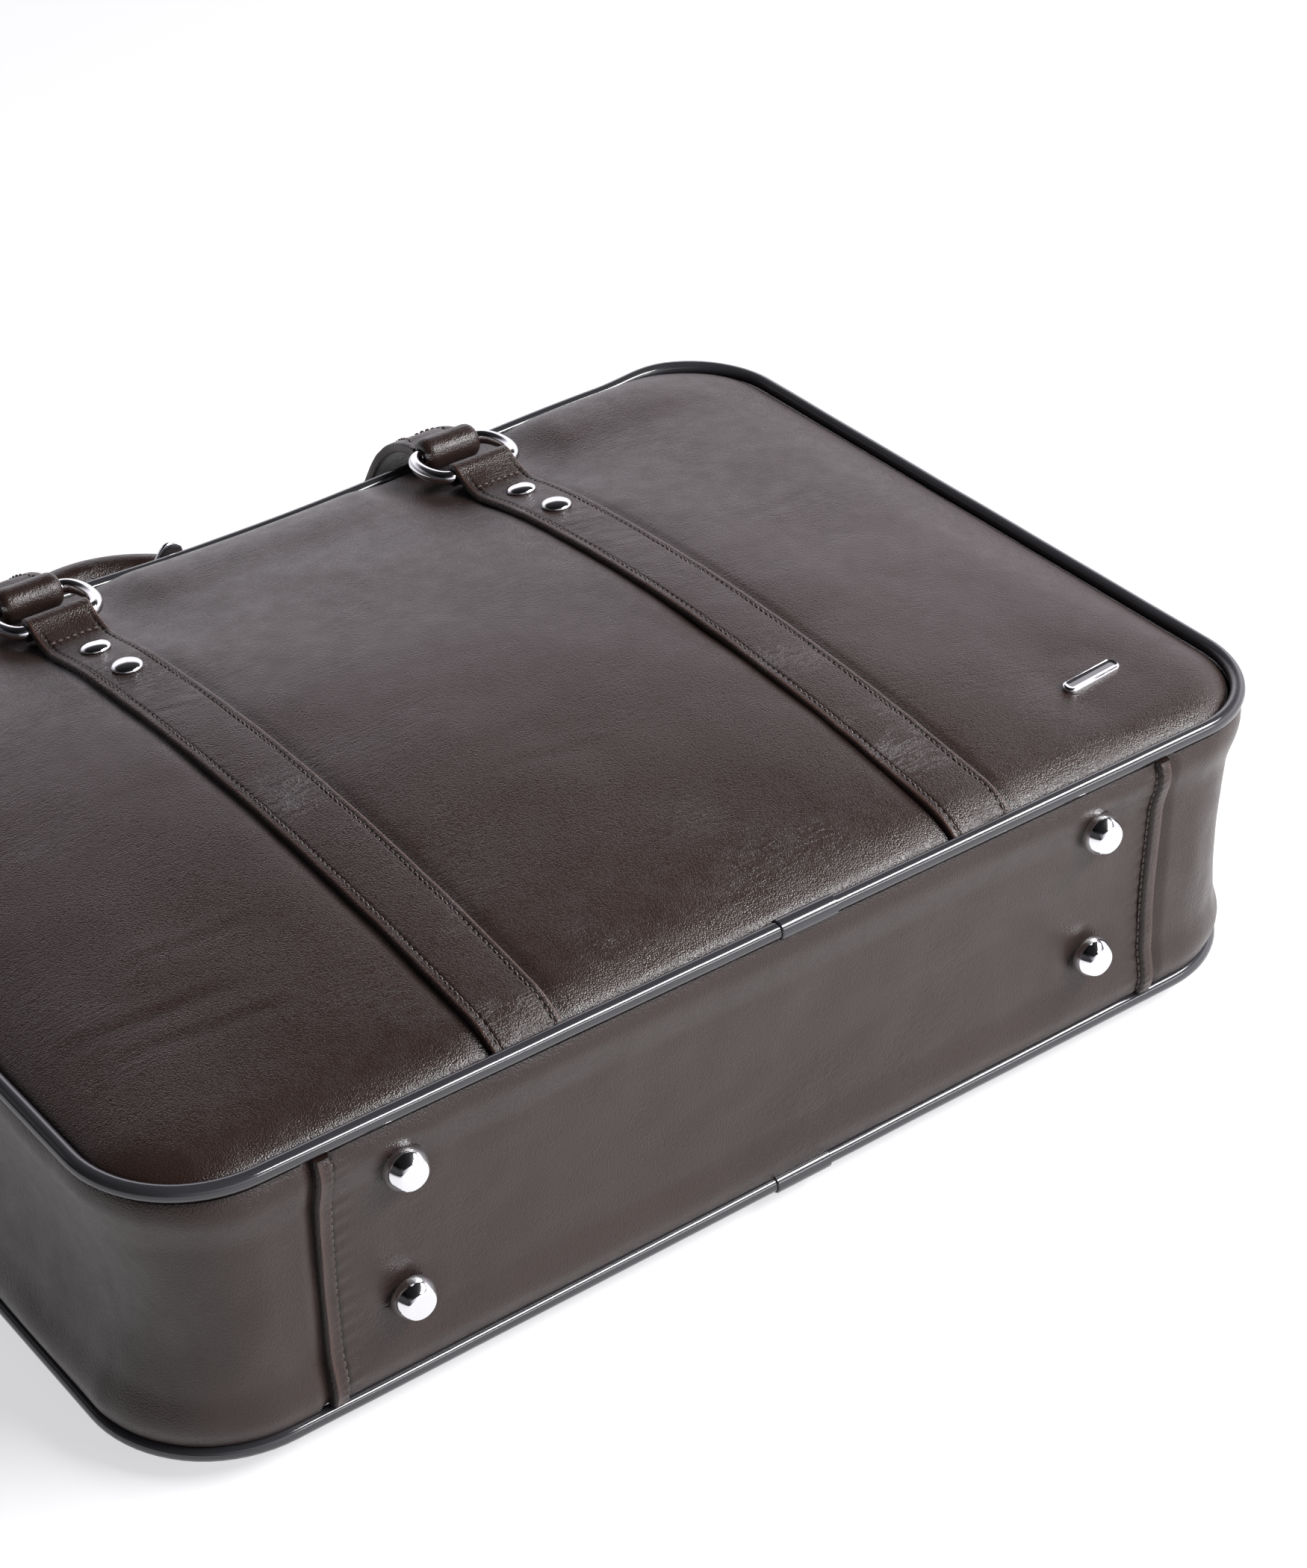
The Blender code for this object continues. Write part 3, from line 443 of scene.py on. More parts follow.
def stand_in(made, nodes, body):
    if body:
        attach(made, body)
    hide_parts(*nodes)
    return made


# ---- Outline --------------------------------------------------------------------------


def corner(sign_x, sign_y, turn, radius, offset):
    angle = turn * math.pi / 2
    x = LENGTH / 2 - radius + (radius + offset) * math.sin(angle)
    y = HEIGHT / 2 - radius + (radius + offset) * math.cos(angle)
    return sign_x * x, sign_y * y


def rim_loop(radius, offset, spacing):
    """The rounded outline, anticlockwise seen from the front, moved outwards by offset."""
    long_half, short_half = LENGTH / 2 - radius, HEIGHT / 2 - radius
    turns = np.linspace(0, 1, max(8, int(math.pi / 2 * radius / spacing)))
    xs = np.linspace(-long_half, long_half, int(2 * long_half / spacing))[1:-1]
    ys = np.linspace(-short_half, short_half, int(2 * short_half / spacing))[1:-1]
    loop = [(x, -HEIGHT / 2 - offset) for x in xs]
    loop += [corner(1, -1, turn, radius, offset) for turn in turns]
    loop += [(LENGTH / 2 + offset, y) for y in ys]
    loop += [corner(1, 1, turn, radius, offset) for turn in turns[::-1]]
    loop += [(-x, HEIGHT / 2 + offset) for x in xs]
    loop += [corner(-1, 1, turn, radius, offset) for turn in turns]
    loop += [(-LENGTH / 2 - offset, -y) for y in ys]
    loop += [corner(-1, -1, turn, radius, offset) for turn in turns[::-1]]
    return np.array(loop)


def sag(x, y):
    along = np.cos(math.pi / 2 * np.clip(x / SAG_HALF_LENGTH, -1, 1)) ** 2
    return SAG * along * ramp((y - SAG_START_Y) / (HEIGHT / 2 - SAG_START_Y))


def pillow(x, y):
    return np.maximum(0.0, 1 - (2 * x / LENGTH) ** 2) * np.maximum(0.0, 1 - (2 * y / HEIGHT) ** 2)


def inside(x, y, radius):
    """Distance from a panel's sewn edge."""
    reach = radius - PIPING_CLEAR
    across = np.abs(x) - (LENGTH / 2 - radius)
    up = np.abs(y) - (HEIGHT / 2 - radius)
    out = np.hypot(np.maximum(across, 0), np.maximum(up, 0)) + np.minimum(np.maximum(across, up), 0)
    return np.maximum(0.0, reach - out)


def roll(depth, width=0.013):
    """How a stuffed panel rises from its seam: steep at first, level after width."""
    return 1 - (1 - np.clip(depth / width, 0, 1)) ** 2.3


def lip(depth):
    """The last two millimetres turn down into the seam."""
    share = 1 - np.clip(depth / 0.0022, 0, 1)
    return 0.0010 * (1 - np.sqrt(np.maximum(0.0, 1 - share**2)))


ROLL_HEIGHT = 0.0032


def front_level(x, y):
    """The front panel's outer face, without the small folds of the simulation."""
    depth = inside(x, y, FRONT_CORNER)
    off_strap = np.abs(np.abs(x) - STRAP_X)
    ring = ramp((y - 0.070) / 0.030) * ramp((0.040 - off_strap) / 0.022)
    extra = ROLL_HEIGHT * (roll(depth) - pillow(x, y)) * (1 - ring)
    far = 0.0020 * (1 - np.exp(-depth / 0.0020)) * ramp((y - 0.100) / 0.025)
    far = far * ramp((0.185 - np.abs(x)) / 0.03)
    level = FRONT_Z - EDGE_DROP + FRONT_DOME * pillow(x, y) - sag(x, y)
    return level + extra + far * (1 - ring) - lip(depth)


def back_level(x, y):
    """The back panel's outer face: flat on the floor, grooved for the straps, dented by the rings."""
    level = np.maximum(0.0, BACK_Z + EDGE_DROP - BACK_DOME * pillow(x, y))
    off_strap = np.abs(np.abs(x) - STRAP_X)
    groove = ramp((0.0134 - off_strap) / 0.0012) * (y < 0.107)
    level = level + np.maximum(0.0, 0.0019 - level) * groove
    dent = ramp((0.0212 - off_strap) / 0.0012) * ramp((y - 0.098) / 0.009)
    level = level + np.maximum(0.0, 0.0098 - level) * dent
    return level + lip(inside(x, y, BACK_CORNER))


# ---- Cloth simulation -----------------------------------------------------------------


CLOTH = {
    "quality": 6,
    "mass": 0.25,
    "tension_stiffness": 12,
    "compression_stiffness": 12,
    "shear_stiffness": 6,
    "bending_stiffness": 12.0,
    "air_damping": 2.0,
    "use_pressure": True,
    "vertex_group_mass": "sewn",
}


def simulate(points, pinned, pressure, slack, limit, steps=22):
    """Blows a pinned sheet of leather out with a little slack, and returns how far it rose."""
    rows, columns = points.shape[:2]
    cloth = add_mesh("slack_sheet", points, quads(rows, columns), HIDE)
    group = cloth.vertex_groups.new(name="sewn")
    group.add([int(k) for k in np.flatnonzero(pinned.ravel())], 1.0, "REPLACE")
    maker = cloth.modifiers.new("Cloth", "CLOTH")
    for key, value in CLOTH.items():
        setattr(maker.settings, key, value)
    maker.settings.uniform_pressure_force = pressure
    maker.settings.shrink_min = -slack
    maker.settings.effector_weights.gravity = 0
    maker.collision_settings.use_collision = False
    maker.point_cache.frame_start = 1
    maker.point_cache.frame_end = steps
    for step in range(1, steps + 1):
        bpy.context.scene.frame_set(step)
    shown = cloth.evaluated_get(bpy.context.evaluated_depsgraph_get()).data
    moved = np.zeros(rows * columns * 3)
    shown.vertices.foreach_get("co", moved)
    rise = moved.reshape(rows, columns, 3)[..., 2] - points[..., 2]
    bpy.data.objects.remove(cloth)
    bpy.context.scene.frame_set(1)
    return limit * np.tanh(rise / limit)


def resample(field, rows, columns):
    """Catmull-Rom interpolation of a grid at fractional row and column positions."""

    def along(values, at):
        base = np.clip(np.floor(at).astype(int), 0, len(values) - 2)
        t = (at - base).reshape(-1, *[1] * (values.ndim - 1))
        a, b, c, d = (values[np.clip(base + k, 0, len(values) - 1)] for k in (-1, 0, 1, 2))
        return b + 0.5 * t * (c - a + t * (2 * a - 5 * b + 4 * c - d + t * (3 * (b - c) + d - a)))

    return along(along(field, rows).swapaxes(0, 1), columns).swapaxes(0, 1)


def panel_xy(columns, rows, radius):
    """Grid over the rounded rectangle: columns are X positions, rows are shares of the half height."""
    reach, inner, full = radius - PIPING_CLEAR, LENGTH / 2 - radius, HEIGHT / 2 - PIPING_CLEAR
    past = np.clip(np.abs(columns) - inner, 0, reach)
    span = full - reach + np.sqrt(np.maximum(0, reach**2 - past**2))
    return np.broadcast_to(columns[:, None], (len(columns), len(rows))), span[:, None] * rows[None, :]


def eased(half, count, fine, share):
    """Positions from -half to half, fine steps near both ends."""
    edge = half - fine * (np.arange(9) ** 1.55)
    middle = np.linspace(0, edge[-1], count)[:-1]
    side = np.concatenate([middle, edge[::-1]])
    return np.concatenate([-side[:0:-1], side]) / (half if share else 1.0)


# The sheet that is simulated is coarser than the panel that takes its rise.
SHEET_COLUMNS, SHEET_ROWS = 74, 54
# Ends of each crease, its depth and its width.
CREASES = (
    (-0.188, -0.078, -0.128, -0.086, 0.00050, 0.0020),
    (-0.180, -0.090, -0.120, -0.101, 0.00040, 0.0017),
    (-0.160, -0.060, -0.112, -0.066, 0.00030, 0.0016),
    (-0.030, -0.052, 0.012, -0.060, 0.00026, 0.0018),
    (0.020, 0.040, 0.052, 0.052, 0.00022, 0.0020),
    (0.118, 0.020, 0.165, 0.028, 0.00024, 0.0020),
)


def creases(x, y):
    """Shallow valleys left by handling, each with a soft ridge beside it."""
    made = np.zeros_like(x)
    for ax, ay, bx, by, depth, width in CREASES:
        length = math.hypot(bx - ax, by - ay)
        ux, uy = (bx - ax) / length, (by - ay) / length
        along = ((x - ax) * ux + (y - ay) * uy) / length
        bow = 0.004 * np.sin(np.pi * np.clip(along, 0, 1)) + 0.0012 * np.sin(9 * along)
        off = (x - ax) * -uy + (y - ay) * ux - bow
        fade = ramp(along / 0.25) * ramp((1 - along) / 0.25)
        made += 0.45 * depth * fade * (0.6 * bell((off - 1.8 * width) / (1.6 * width)) - bell(off / width))
    return made


def make_panel(name, level, radius, inward, slack, limit):
    """A padded panel. The simulation gives its slack leather soft swells between the seams."""
    columns = eased(LENGTH / 2 - PIPING_CLEAR, 88, 0.00022, False)
    rows = eased(HEIGHT / 2 - PIPING_CLEAR, 64, 0.00022, True)
    x, y = panel_xy(columns, rows, radius)
    rise = np.zeros_like(x)
    wide = np.linspace(-LENGTH / 2 + PIPING_CLEAR, LENGTH / 2 - PIPING_CLEAR, SHEET_COLUMNS)
    tall = np.linspace(-1, 1, SHEET_ROWS)
    cx, cy = panel_xy(wide, tall, radius)
    off_strap = np.abs(np.abs(cx) - STRAP_X)
    pinned = (inside(cx, cy, radius) < 0.003) | (off_strap < 0.0095)
    pinned |= (off_strap < 0.024) & (cy > 0.088)
    if inward > 0:
        pinned |= level(cx, cy) < 0.0012
    else:
        pinned |= np.hypot(cx - EMBLEM_AT[0], cy - EMBLEM_AT[1]) < 0.015
    sheet = np.stack([cx, cy, level(cx, cy)], -1)
    lift = simulate(sheet, pinned, -4.0 * inward, slack, limit)
    step = 2 * (HEIGHT / 2 - PIPING_CLEAR) / (SHEET_ROWS - 1)
    spots = (np.interp(columns, wide, np.arange(SHEET_COLUMNS)), (rows + 1) / 2 * (SHEET_ROWS - 1))
    rise = resample(lift, *spots) * ramp(inside(x, y, radius) / step)
    swell = wavy(x, y, 0, 0.045, 3.1) * 0.0005 * ramp(inside(x, y, radius) / 0.02)
    z = level(x, y) + rise
    pressed = bell((np.abs(np.abs(x) - STRAP_X) - 0.0124) / 0.0013) * ramp((0.102 - y) / 0.01)
    if inward < 0:
        z += swell + creases(x, y) - 0.0006 * pressed
    outer = np.stack([x, y, z], -1)
    inner = outer + np.array([0, 0, inward * PANEL_THICK])
    depth = inside(x, y, radius)
    # Painted shade in the last 1.6 mm before the seam, in the crease valleys and in the dent beside each
    # strap.
    shade = -0.75 * (1 - ramp(depth / 0.0016)) + 1.2 * np.minimum(0, creases(x, y) / 0.001)
    shade -= 0.9 * pressed
    made = shell(name + "_leather", outer, inner, HIDE, flip=inward > 0, shade=shade)
    stand_in(made, [name], "case")
    return made


make_panel("front_panel", front_level, FRONT_CORNER, -1, 0.001, 0.0012)
make_panel("back_panel", back_level, BACK_CORNER, 1, 0.001, 0.0006)


# ---- Piping ---------------------------------------------------------------------------


def make_piping():
    edges = (("front", FRONT_CORNER, FRONT_Z, 1), ("back", BACK_CORNER, BACK_Z, 0))
    for name, radius, level, front in edges:
        loop = rim_loop(radius, 0.0, 0.003)
        x, y = loop.T
        turned_out = 0.0020 * ramp((y - 0.128) / 0.014) * ramp((0.180 - np.abs(x)) / 0.03)
        points = np.stack([x, y, level - front * (sag(x, y) + turned_out)], -1)
        points[:, 2] += 0.00012 * murk(points, 0.03, 5.0)
        rings = tube_rings(points, (0, 0, 1), circle(PIPING_RADIUS, 16), True)
        made = loft(name + "_piping_tube", rings, PIPING, True)
        stand_in(made, [name + "_piping"], "case")
        outside = [(0.0027, -0.0100), (0.00305, -0.0097), (0.0031, -0.0060)]
        outside += [(reach, -x) for reach, x in outside[::-1]]
        bore = [(0.00255, 0.0100), (0.00255, -0.0100)]
        rings = []
        for reach, x in outside + bore:
            rings.append([(0.012 + x, -HEIGHT / 2 + a, level + b) for a, b in circle(reach, 20)])
        made = loft(name + "_piping_joint", rings, PIPING, True, 40)
        stand_in(made, [name + "_piping_sleeve"], "case")


make_piping()


# ---- Gussets --------------------------------------------------------------------------


def gusset_offset(level, hollow):
    edge = np.minimum(level - BACK_Z, FRONT_Z - level)
    across = (level - BACK_Z) / (FRONT_Z - BACK_Z)
    rolled = -0.0016 + 0.0046 * (1 - np.exp(-edge / 0.0042))
    settled = 0.0024 * ramp((edge - 0.007) / 0.014)
    return rolled - settled - hollow * np.sin(math.pi * across) ** 2


def gusset_levels(count):
    low, high = BACK_Z + 0.0030, FRONT_Z - 0.0030
    share = np.linspace(0, 1, count)
    return low + (high - low) * (share - 0.11 * np.sin(2 * np.pi * share))


def dimples(x, z):
    """The leather dips in round each foot."""
    made = np.zeros_like(x)
    for fx in (-FOOT_X, FOOT_X):
        for fz in FOOT_Z:
            away = np.hypot(x - fx, z - fz)
            made += 0.00025 * bell((away - 0.0125) / 0.0035) - 0.0009 * bell(away / 0.0085)
    return made


def make_bottom_gusset():
    half = SEAM_X - 0.00015
    edge = [0, 0.15, 0.4, 0.8, 1.3, 2.0, 2.8, 3.5, 4.0, 4.4, 4.75, 5.1, 5.45, 5.9]
    edge += [6.6, 7.6, 9.0, 11, 13.5, 16]
    edge = np.array(edge) / 1000
    middle = np.arange(0, half - 0.016, 0.0026)
    side = np.concatenate([middle, half - edge[::-1]])
    xs = np.concatenate([-side[:0:-1], side])
    zs = gusset_levels(132)
    x, z = np.meshgrid(xs, zs, indexing="ij")
    depth = half - np.abs(x)
    along = z / STITCH_PITCH * 2 * np.pi
    hem = 0.0017 * ramp(depth / 0.0011 + 0.25) * ramp((0.0052 - depth) / 0.0010)
    hem *= 1 + 0.10 * np.cos(along) * bell((depth - 0.004) / 0.0012)
    groove = -0.00050 * bell((depth - 0.0051) / 0.00045) * (0.7 + 0.3 * np.cos(along))
    pucker = 0.00022 * np.cos(along * 0.5 + 1.0) * bell((depth - 0.0075) / 0.0022)
    waves = wavy(x, 0, z, 0.030, 7.0) * 0.00045 + wavy(x * 0.4, 0, z, 0.012, 9.0) * 0.00012
    edge_z = np.minimum(z - BACK_Z, FRONT_Z - z)
    calm = ramp(edge_z / 0.010)
    y = gusset_offset(z, 0.0012) + (hem + groove + pucker) * ramp((edge_z + 0.002) / 0.004)
    y = y + (waves + dimples(x, z)) * calm
    outer = np.stack([x, -HEIGHT / 2 - y, z], -1)
    inner = np.stack([x, -HEIGHT / 2 - gusset_offset(z, 0.0012) + GUSSET_THICK, z], -1)
    # Painted shade in the gap at the hem's outer edge, in the stitch groove and next to the piping; a paler
    # worn lip along the hem.
    shade = 0.35 * bell((depth - 0.0012) / 0.0007) - 1.2 * bell(depth / 0.0003)
    shade -= 1.2 * bell((depth - 0.0053) / 0.0007)
    shade -= 0.6 * (1 - ramp((edge_z - 0.003) / 0.0012))
    made = shell("bottom_gusset_leather", outer, inner, HIDE, shade=shade)
    stand_in(made, ["bottom_gusset"], "case")
    lines = []
    rows = np.linspace(BACK_Z + 0.0045, FRONT_Z - 0.0045, 60)
    face = -HEIGHT / 2 - gusset_offset(rows, 0.0012) + 0.0001
    for sign in (-1, 1):
        line = np.stack([np.full(60, sign * (half - 0.0051)), face, rows], -1)
        lines.append((line, (0.0, -1.0, 0.0)))
    stitches("bottom_gusset_stitches", "case", lines)


def make_side_gusset(name, side):
    zs = gusset_levels(56)
    radius = BACK_CORNER + (FRONT_CORNER - BACK_CORNER) * (zs - BACK_Z) / (FRONT_Z - BACK_Z)
    start = SEAM_X - 0.0030
    grid, thick = [], []

    def column(place, hollow, drawn):
        """One line of points from the back seam to the front one."""
        out = gusset_offset(zs, hollow)
        spot = np.array([place(r, o) for r, o in zip(radius, out)])
        points = np.stack([spot[:, 0], spot[:, 1], zs], -1)
        edge = np.minimum(zs - BACK_Z, FRONT_Z - zs)
        calm = ramp(edge / 0.012)
        puff = 0.0007 * murk(points, 0.035, 11.0) * calm
        drag = 0.00035 * murk(points * np.array([1, 1, 0.35]), 0.010, 13.0) * calm
        out = out + puff + drag * drawn
        outer = np.array([place(r, o) for r, o in zip(radius, out)])
        inner = np.array([place(r, o - GUSSET_THICK) for r, o in zip(radius, out)])
        grid.append(np.stack([outer[:, 0], outer[:, 1], zs], -1))
        thick.append(np.stack([inner[:, 0], inner[:, 1], zs], -1))

    for x in np.linspace(start, LENGTH / 2 - BACK_CORNER, 8)[:-1]:
        tuck = 0.0016 * (1 - ramp((x - SEAM_X) / 0.0035))
        column(lambda r, o, x=x, t=tuck: (side * x, -HEIGHT / 2 - o + t), 0.0, 0.4)
    turns = np.linspace(0, 1, 30)
    for turn in turns:
        column(lambda r, o, t=turn: corner(side, -1, t, r, o), GUSSET_HOLLOW * ramp(turn), 1.0)
    for y in np.linspace(-HEIGHT / 2 + BACK_CORNER, HEIGHT / 2 - BACK_CORNER, 56)[1:-1]:
        column(lambda r, o, y=y: (side * (LENGTH / 2 + o), y), GUSSET_HOLLOW, 0.5)
    for turn in turns[::-1]:
        column(lambda r, o, t=turn: corner(side, 1, t, r, o), GUSSET_HOLLOW * ramp(turn), 1.0)
    for x in np.linspace(LENGTH / 2 - BACK_CORNER, MOUTH_HALF + 0.0003, 4)[1:]:
        column(lambda r, o, x=x: (side * x, HEIGHT / 2 + o), 0.0, 0.2)
    outer, inner = np.array(grid), np.array(thick)
    edge = np.minimum(outer[..., 2] - BACK_Z, FRONT_Z - outer[..., 2])
    # Painted shade next to the piping and under the bottom gusset's hem.
    shade = -0.6 * (1 - ramp((edge - 0.003) / 0.0012))
    shade[:9] -= 0.7 * (1 - ramp((np.abs(outer[:9, :, 0]) - SEAM_X) / 0.0012))
    made = shell(name + "_leather", outer, inner, HIDE, flip=side < 0, shade=shade)
    stand_in(made, [name], "case")


make_bottom_gusset()
make_side_gusset("left_gusset", -1)
make_side_gusset("right_gusset", 1)


# ---- Straps ---------------------------------------------------------------------------


def hermite(start, start_way, end, end_way, count):
    t = np.linspace(0, 1, count)[:, None]
    size = np.linalg.norm(np.subtract(end, start))
    a, b = np.array(start), np.array(end)
    c, d = np.array(start_way) * size, np.array(end_way) * size
    blend = 3 * t**2 - 2 * t**3
    return a * (1 - blend) + b * blend + c * (t**3 - 2 * t**2 + t) + d * (t**3 - t**2)


def arc(centre, radius, first, last, count):
    turn = np.radians(np.linspace(first, last, count))
    return np.stack([centre[0] + radius * np.cos(turn), centre[1] + radius * np.sin(turn)], -1)


def strap_section(width, thick, dome, stitch):
    """(across, height) of a strap's upper side from one edge to the other, with painted shade (below 0) in
    the stitch groove and the crease line inside the edge, and a paler worn edge (above 0).
    """
    half = width / 2
    edge = [0.0, 0.05, 0.25, 0.6, 1.0, 1.35, 1.6, 1.85, 2.1, 2.35, 2.6, 2.85, 3.1, 3.45, 4.0, 5.2, 6.8, 8.6]
    edge = np.array(edge) / 1000
    a = np.concatenate([-half + edge, [0.0], half - edge[::-1]])
    depth = half - np.abs(a)
    height = thick * np.sqrt(np.clip(1 - (1 - np.clip(depth / 0.0009, 0, 1)) ** 2, 0, 1)) * 0.999
    height = np.where(depth <= 0, 0.0, height)
    ridge = 0.00022 * bell((depth - 0.0009) / 0.0006) - 0.00025 * bell((depth - 0.0017) / 0.00025)
    crown = dome * np.clip(1 - (a / (half - 0.003)) ** 2, 0, 1)
    groove = -0.00055 * bell((depth - stitch) / 0.00042)
    # Painted shade in the stitch groove and the crease line inside the edge; paler worn edge at the rim.
    wear_and_shade = 0.55 * bell((depth - 0.0007) / 0.0006) - 1.6 * bell((depth - stitch) / 0.0006)
    wear_and_shade = wear_and_shade - 0.7 * bell((depth - 0.0017) / 0.0003)
    return a, height + ridge + crown, groove, wear_and_shade


def make_strap(name, side, front):
    """One band of leather: up the panel, over the ring's bar and back under itself."""
    (bar_y, bar_z), _ = FRONT_BARS if front else BACK_BARS
    thick = 0.0020 if front else 0.0013
    up = 1 if front else -1
    level = front_level if front else back_level
    x0 = side * STRAP_X
    sink = 0.00025 if front else 0.0002
    ys = np.arange(-0.1398, 0.096 if front else 0.094, STITCH_PITCH / 4)
    flat = np.stack([ys, level(np.full_like(ys, x0), ys) - up * sink], -1)
    reach = 0.00275
    first, last = (128, -78) if front else (-118, 78)
    rise = np.radians(first)
    tip = (bar_y + reach * np.cos(rise), bar_z + reach * np.sin(rise))
    way = (up * np.sin(rise), -up * np.cos(rise))
    lead = flat[-1] - flat[-3]
    lead /= np.linalg.norm(lead)
    bridge = hermite(flat[-1], lead, tip, way, 24)[1:]
    wrap = arc((bar_y, bar_z), reach, first, last, 34)[1:]
    path = np.concatenate([flat, bridge, wrap])
    points = np.stack([np.full(len(path), x0), path[:, 0], path[:, 1]], -1)
    forward = np.gradient(points, axis=0)
    forward /= np.linalg.norm(forward, axis=1, keepdims=True)
    normal = np.stack([0 * forward[:, 0], -forward[:, 2], forward[:, 1]], -1) * up
    a, height, groove, wear_and_shade = strap_section(STRAP_WIDTH, 1.0, 0.0, 0.0027)
    count = len(path)
    run = np.arange(count)
    on_panel = ramp((0.092 - points[:, 1]) / 0.012) * (run < len(flat))
    eye = ramp((run - len(flat) - 6) / 18.0)
    tall = thick * (1 - eye) + (0.00165 if front else 0.00145) * eye
    dome = 0.00022 * (1 - eye)
    holes = 0.62 + 0.38 * np.cos(2 * np.pi * run / 4)
    a2 = a[None] * (1 - 0.018 * eye[:, None])
    profile = np.clip(height, 0, 1)[None] * tall[:, None]
    profile = profile + (height - np.clip(height, 0, 1))[None]
    profile = profile + dome[:, None] * np.clip(1 - (a[None] / 0.0085) ** 2, 0, 1)
    profile = profile + groove[None] * (holes * (1 - eye))[:, None]
    crumple = wavy(0.6 * a, points[:, 1:2] + 0.35 * a, 0, 0.0034, 17.0 + side)
    window = bell((points[:, 1] - 0.050) / 0.020) * 0.9 + 0.25
    crumple = crumple * (window * (1 - eye))[:, None] * ramp((0.0088 - np.abs(a)) / 0.002)[None]
    profile = profile + 0.00016 * crumple
    sway = 0.00018 * wavy(side, points[:, 1], 0, 0.012, 19.0)
    tilt = level(x0 + a2, points[:, 1][:, None] + 0 * a2) - level(np.full(count, x0), points[:, 1])[:, None]
    tilt = tilt * on_panel[:, None]
    base = points[:, None] + np.stack([a2 + sway[:, None], 0 * a2, tilt], -1)
    top = base + normal[:, None] * profile[..., None]
    under = base - normal[:, None] * 0.00005
    rings = np.concatenate([top, under[:, -2:0:-1]], 1)
    if front:
        rings = rings[:, ::-1]
    shade = np.zeros(rings.shape[:2])
    # Painted shade at each stitch hole along the flat run; the paler worn edges stay as they are.
    dark = np.where(wear_and_shade[None] < 0, wear_and_shade[None] * (holes * (1 - eye))[:, None], wear_and_shade[None])
    shade[:, : len(a)] = dark
    if front:
        shade = shade[:, ::-1]
    made = loft(name + "_band", rings, STRAP_HIDE, False, 60, shade)
    stand_in(made, [name], "case")
    lines = []
    keep = run < len(flat) - 4
    for sign in (-1, 1):
        k = int(np.argmin(np.abs(a - sign * (STRAP_WIDTH / 2 - 0.0027))))
        lines.append((top[keep, k] - normal[keep] * 0.00002, normal[keep]))
    ridge = len(flat) + 8
    across = top[ridge, 9:-9] + normal[ridge] * 0.0001
    lines.append((across, normal[ridge]))
    stitches(name + "_stitches", "case", lines)
    return made


def strap_top(x, y, front):
    """Height of a strap's outer face on its panel."""
    if front:
        return front_level(np.float64(x), np.float64(y)) + 0.0020
    return back_level(np.float64(x), np.float64(y)) - 0.0013


def on_surface(x, y, level, outward, lift):
    step = 0.001
    slope_x = float(level(x + step, y) - level(x - step, y)) / (2 * step)
    slope_y = float(level(x, y + step) - level(x, y - step)) / (2 * step)
    normal = Vector((-slope_x, -slope_y, 1)).normalized() * outward
    right = (Vector((1, 0, 0)) - normal * normal.x).normalized()
    matrix = Matrix((right, normal.cross(right), normal)).transposed().to_4x4()
    matrix.translation = Vector((x, y, float(level(x, y)))) + normal * lift
    return matrix


def make_rivets(face, side_name, side, front):
    height = 0.0021 if front else 0.0011
    turn = np.linspace(0, 1, 9) * math.pi / 2
    dome = [(0.0050 * math.cos(t), 0.0003 + (height - 0.0003) * math.sin(t)) for t in turn[:-1]]
    profile = [(0.0046, -0.0002), (0.0049, 0.0), (0.0050, 0.00015)] + dome + [(0.0004, height)]
    for label, y in zip(("lower", "upper"), RIVET_Y):
        node = "%s_%s_rivet_%s" % (face, side_name, label)
        outward = 1 if front else -1
        matrix = on_surface(side * STRAP_X, y, lambda a, b: strap_top(a, b, front), outward, 0.0001)
        made = turned(node + "_cap", profile, 36, matrix, CHROME)
        stand_in(made, [node], "case")


def make_ring(node, side, front):
    near, far = FRONT_BARS if front else BACK_BARS
    start = np.array([side * STRAP_X, *near])
    reach = np.array([0, far[0] - near[0], far[1] - near[1]])
    turn = np.linspace(0, math.pi, 25)
    bars = [(x, 0.0) for x in np.linspace(-RING_STRAIGHT, RING_STRAIGHT, 8)[:-1]]
    plan = bars + [(RING_STRAIGHT + RING_END * math.sin(t), 0.5 - 0.5 * math.cos(t)) for t in turn]
    plan += [(x, 1.0) for x in np.linspace(RING_STRAIGHT, -RING_STRAIGHT, 8)[1:-1]]
    plan += [(-RING_STRAIGHT - RING_END * math.sin(t), 0.5 + 0.5 * math.cos(t)) for t in turn[:-1]]
    points = np.array([start + np.array([x, 0, 0]) + reach * share for x, share in plan])
    normal = np.cross((1, 0, 0), reach)
    rings = tube_rings(points, normal / np.linalg.norm(normal), circle(RING_WIRE, 20), True)
    made = loft(node + "_wire", rings, CHROME, True)
    stand_in(made, [node], node)


for FACE, FRONT in (("front", True), ("back", False)):
    for SIDE_NAME, SIDE in (("left", -1), ("right", 1)):
        make_strap("%s_%s_strap" % (FACE, SIDE_NAME), SIDE, FRONT)
        make_rivets(FACE, SIDE_NAME, SIDE, FRONT)
        make_ring("%s_%s_ring" % (FACE, SIDE_NAME), SIDE, FRONT)


# ---- Handles --------------------------------------------------------------------------


def heading(front, reach):
    if not front:
        return BACK_HEADING * ramp(reach / 0.012)
    curled = TAB_HEADING + (CURL_HEADING - TAB_HEADING) * ramp(reach / CURL_REACH)
    return curled + (GRIP_HEADING - CURL_HEADING) * ramp((reach - CURL_REACH) / (SETTLE_REACH - CURL_REACH))


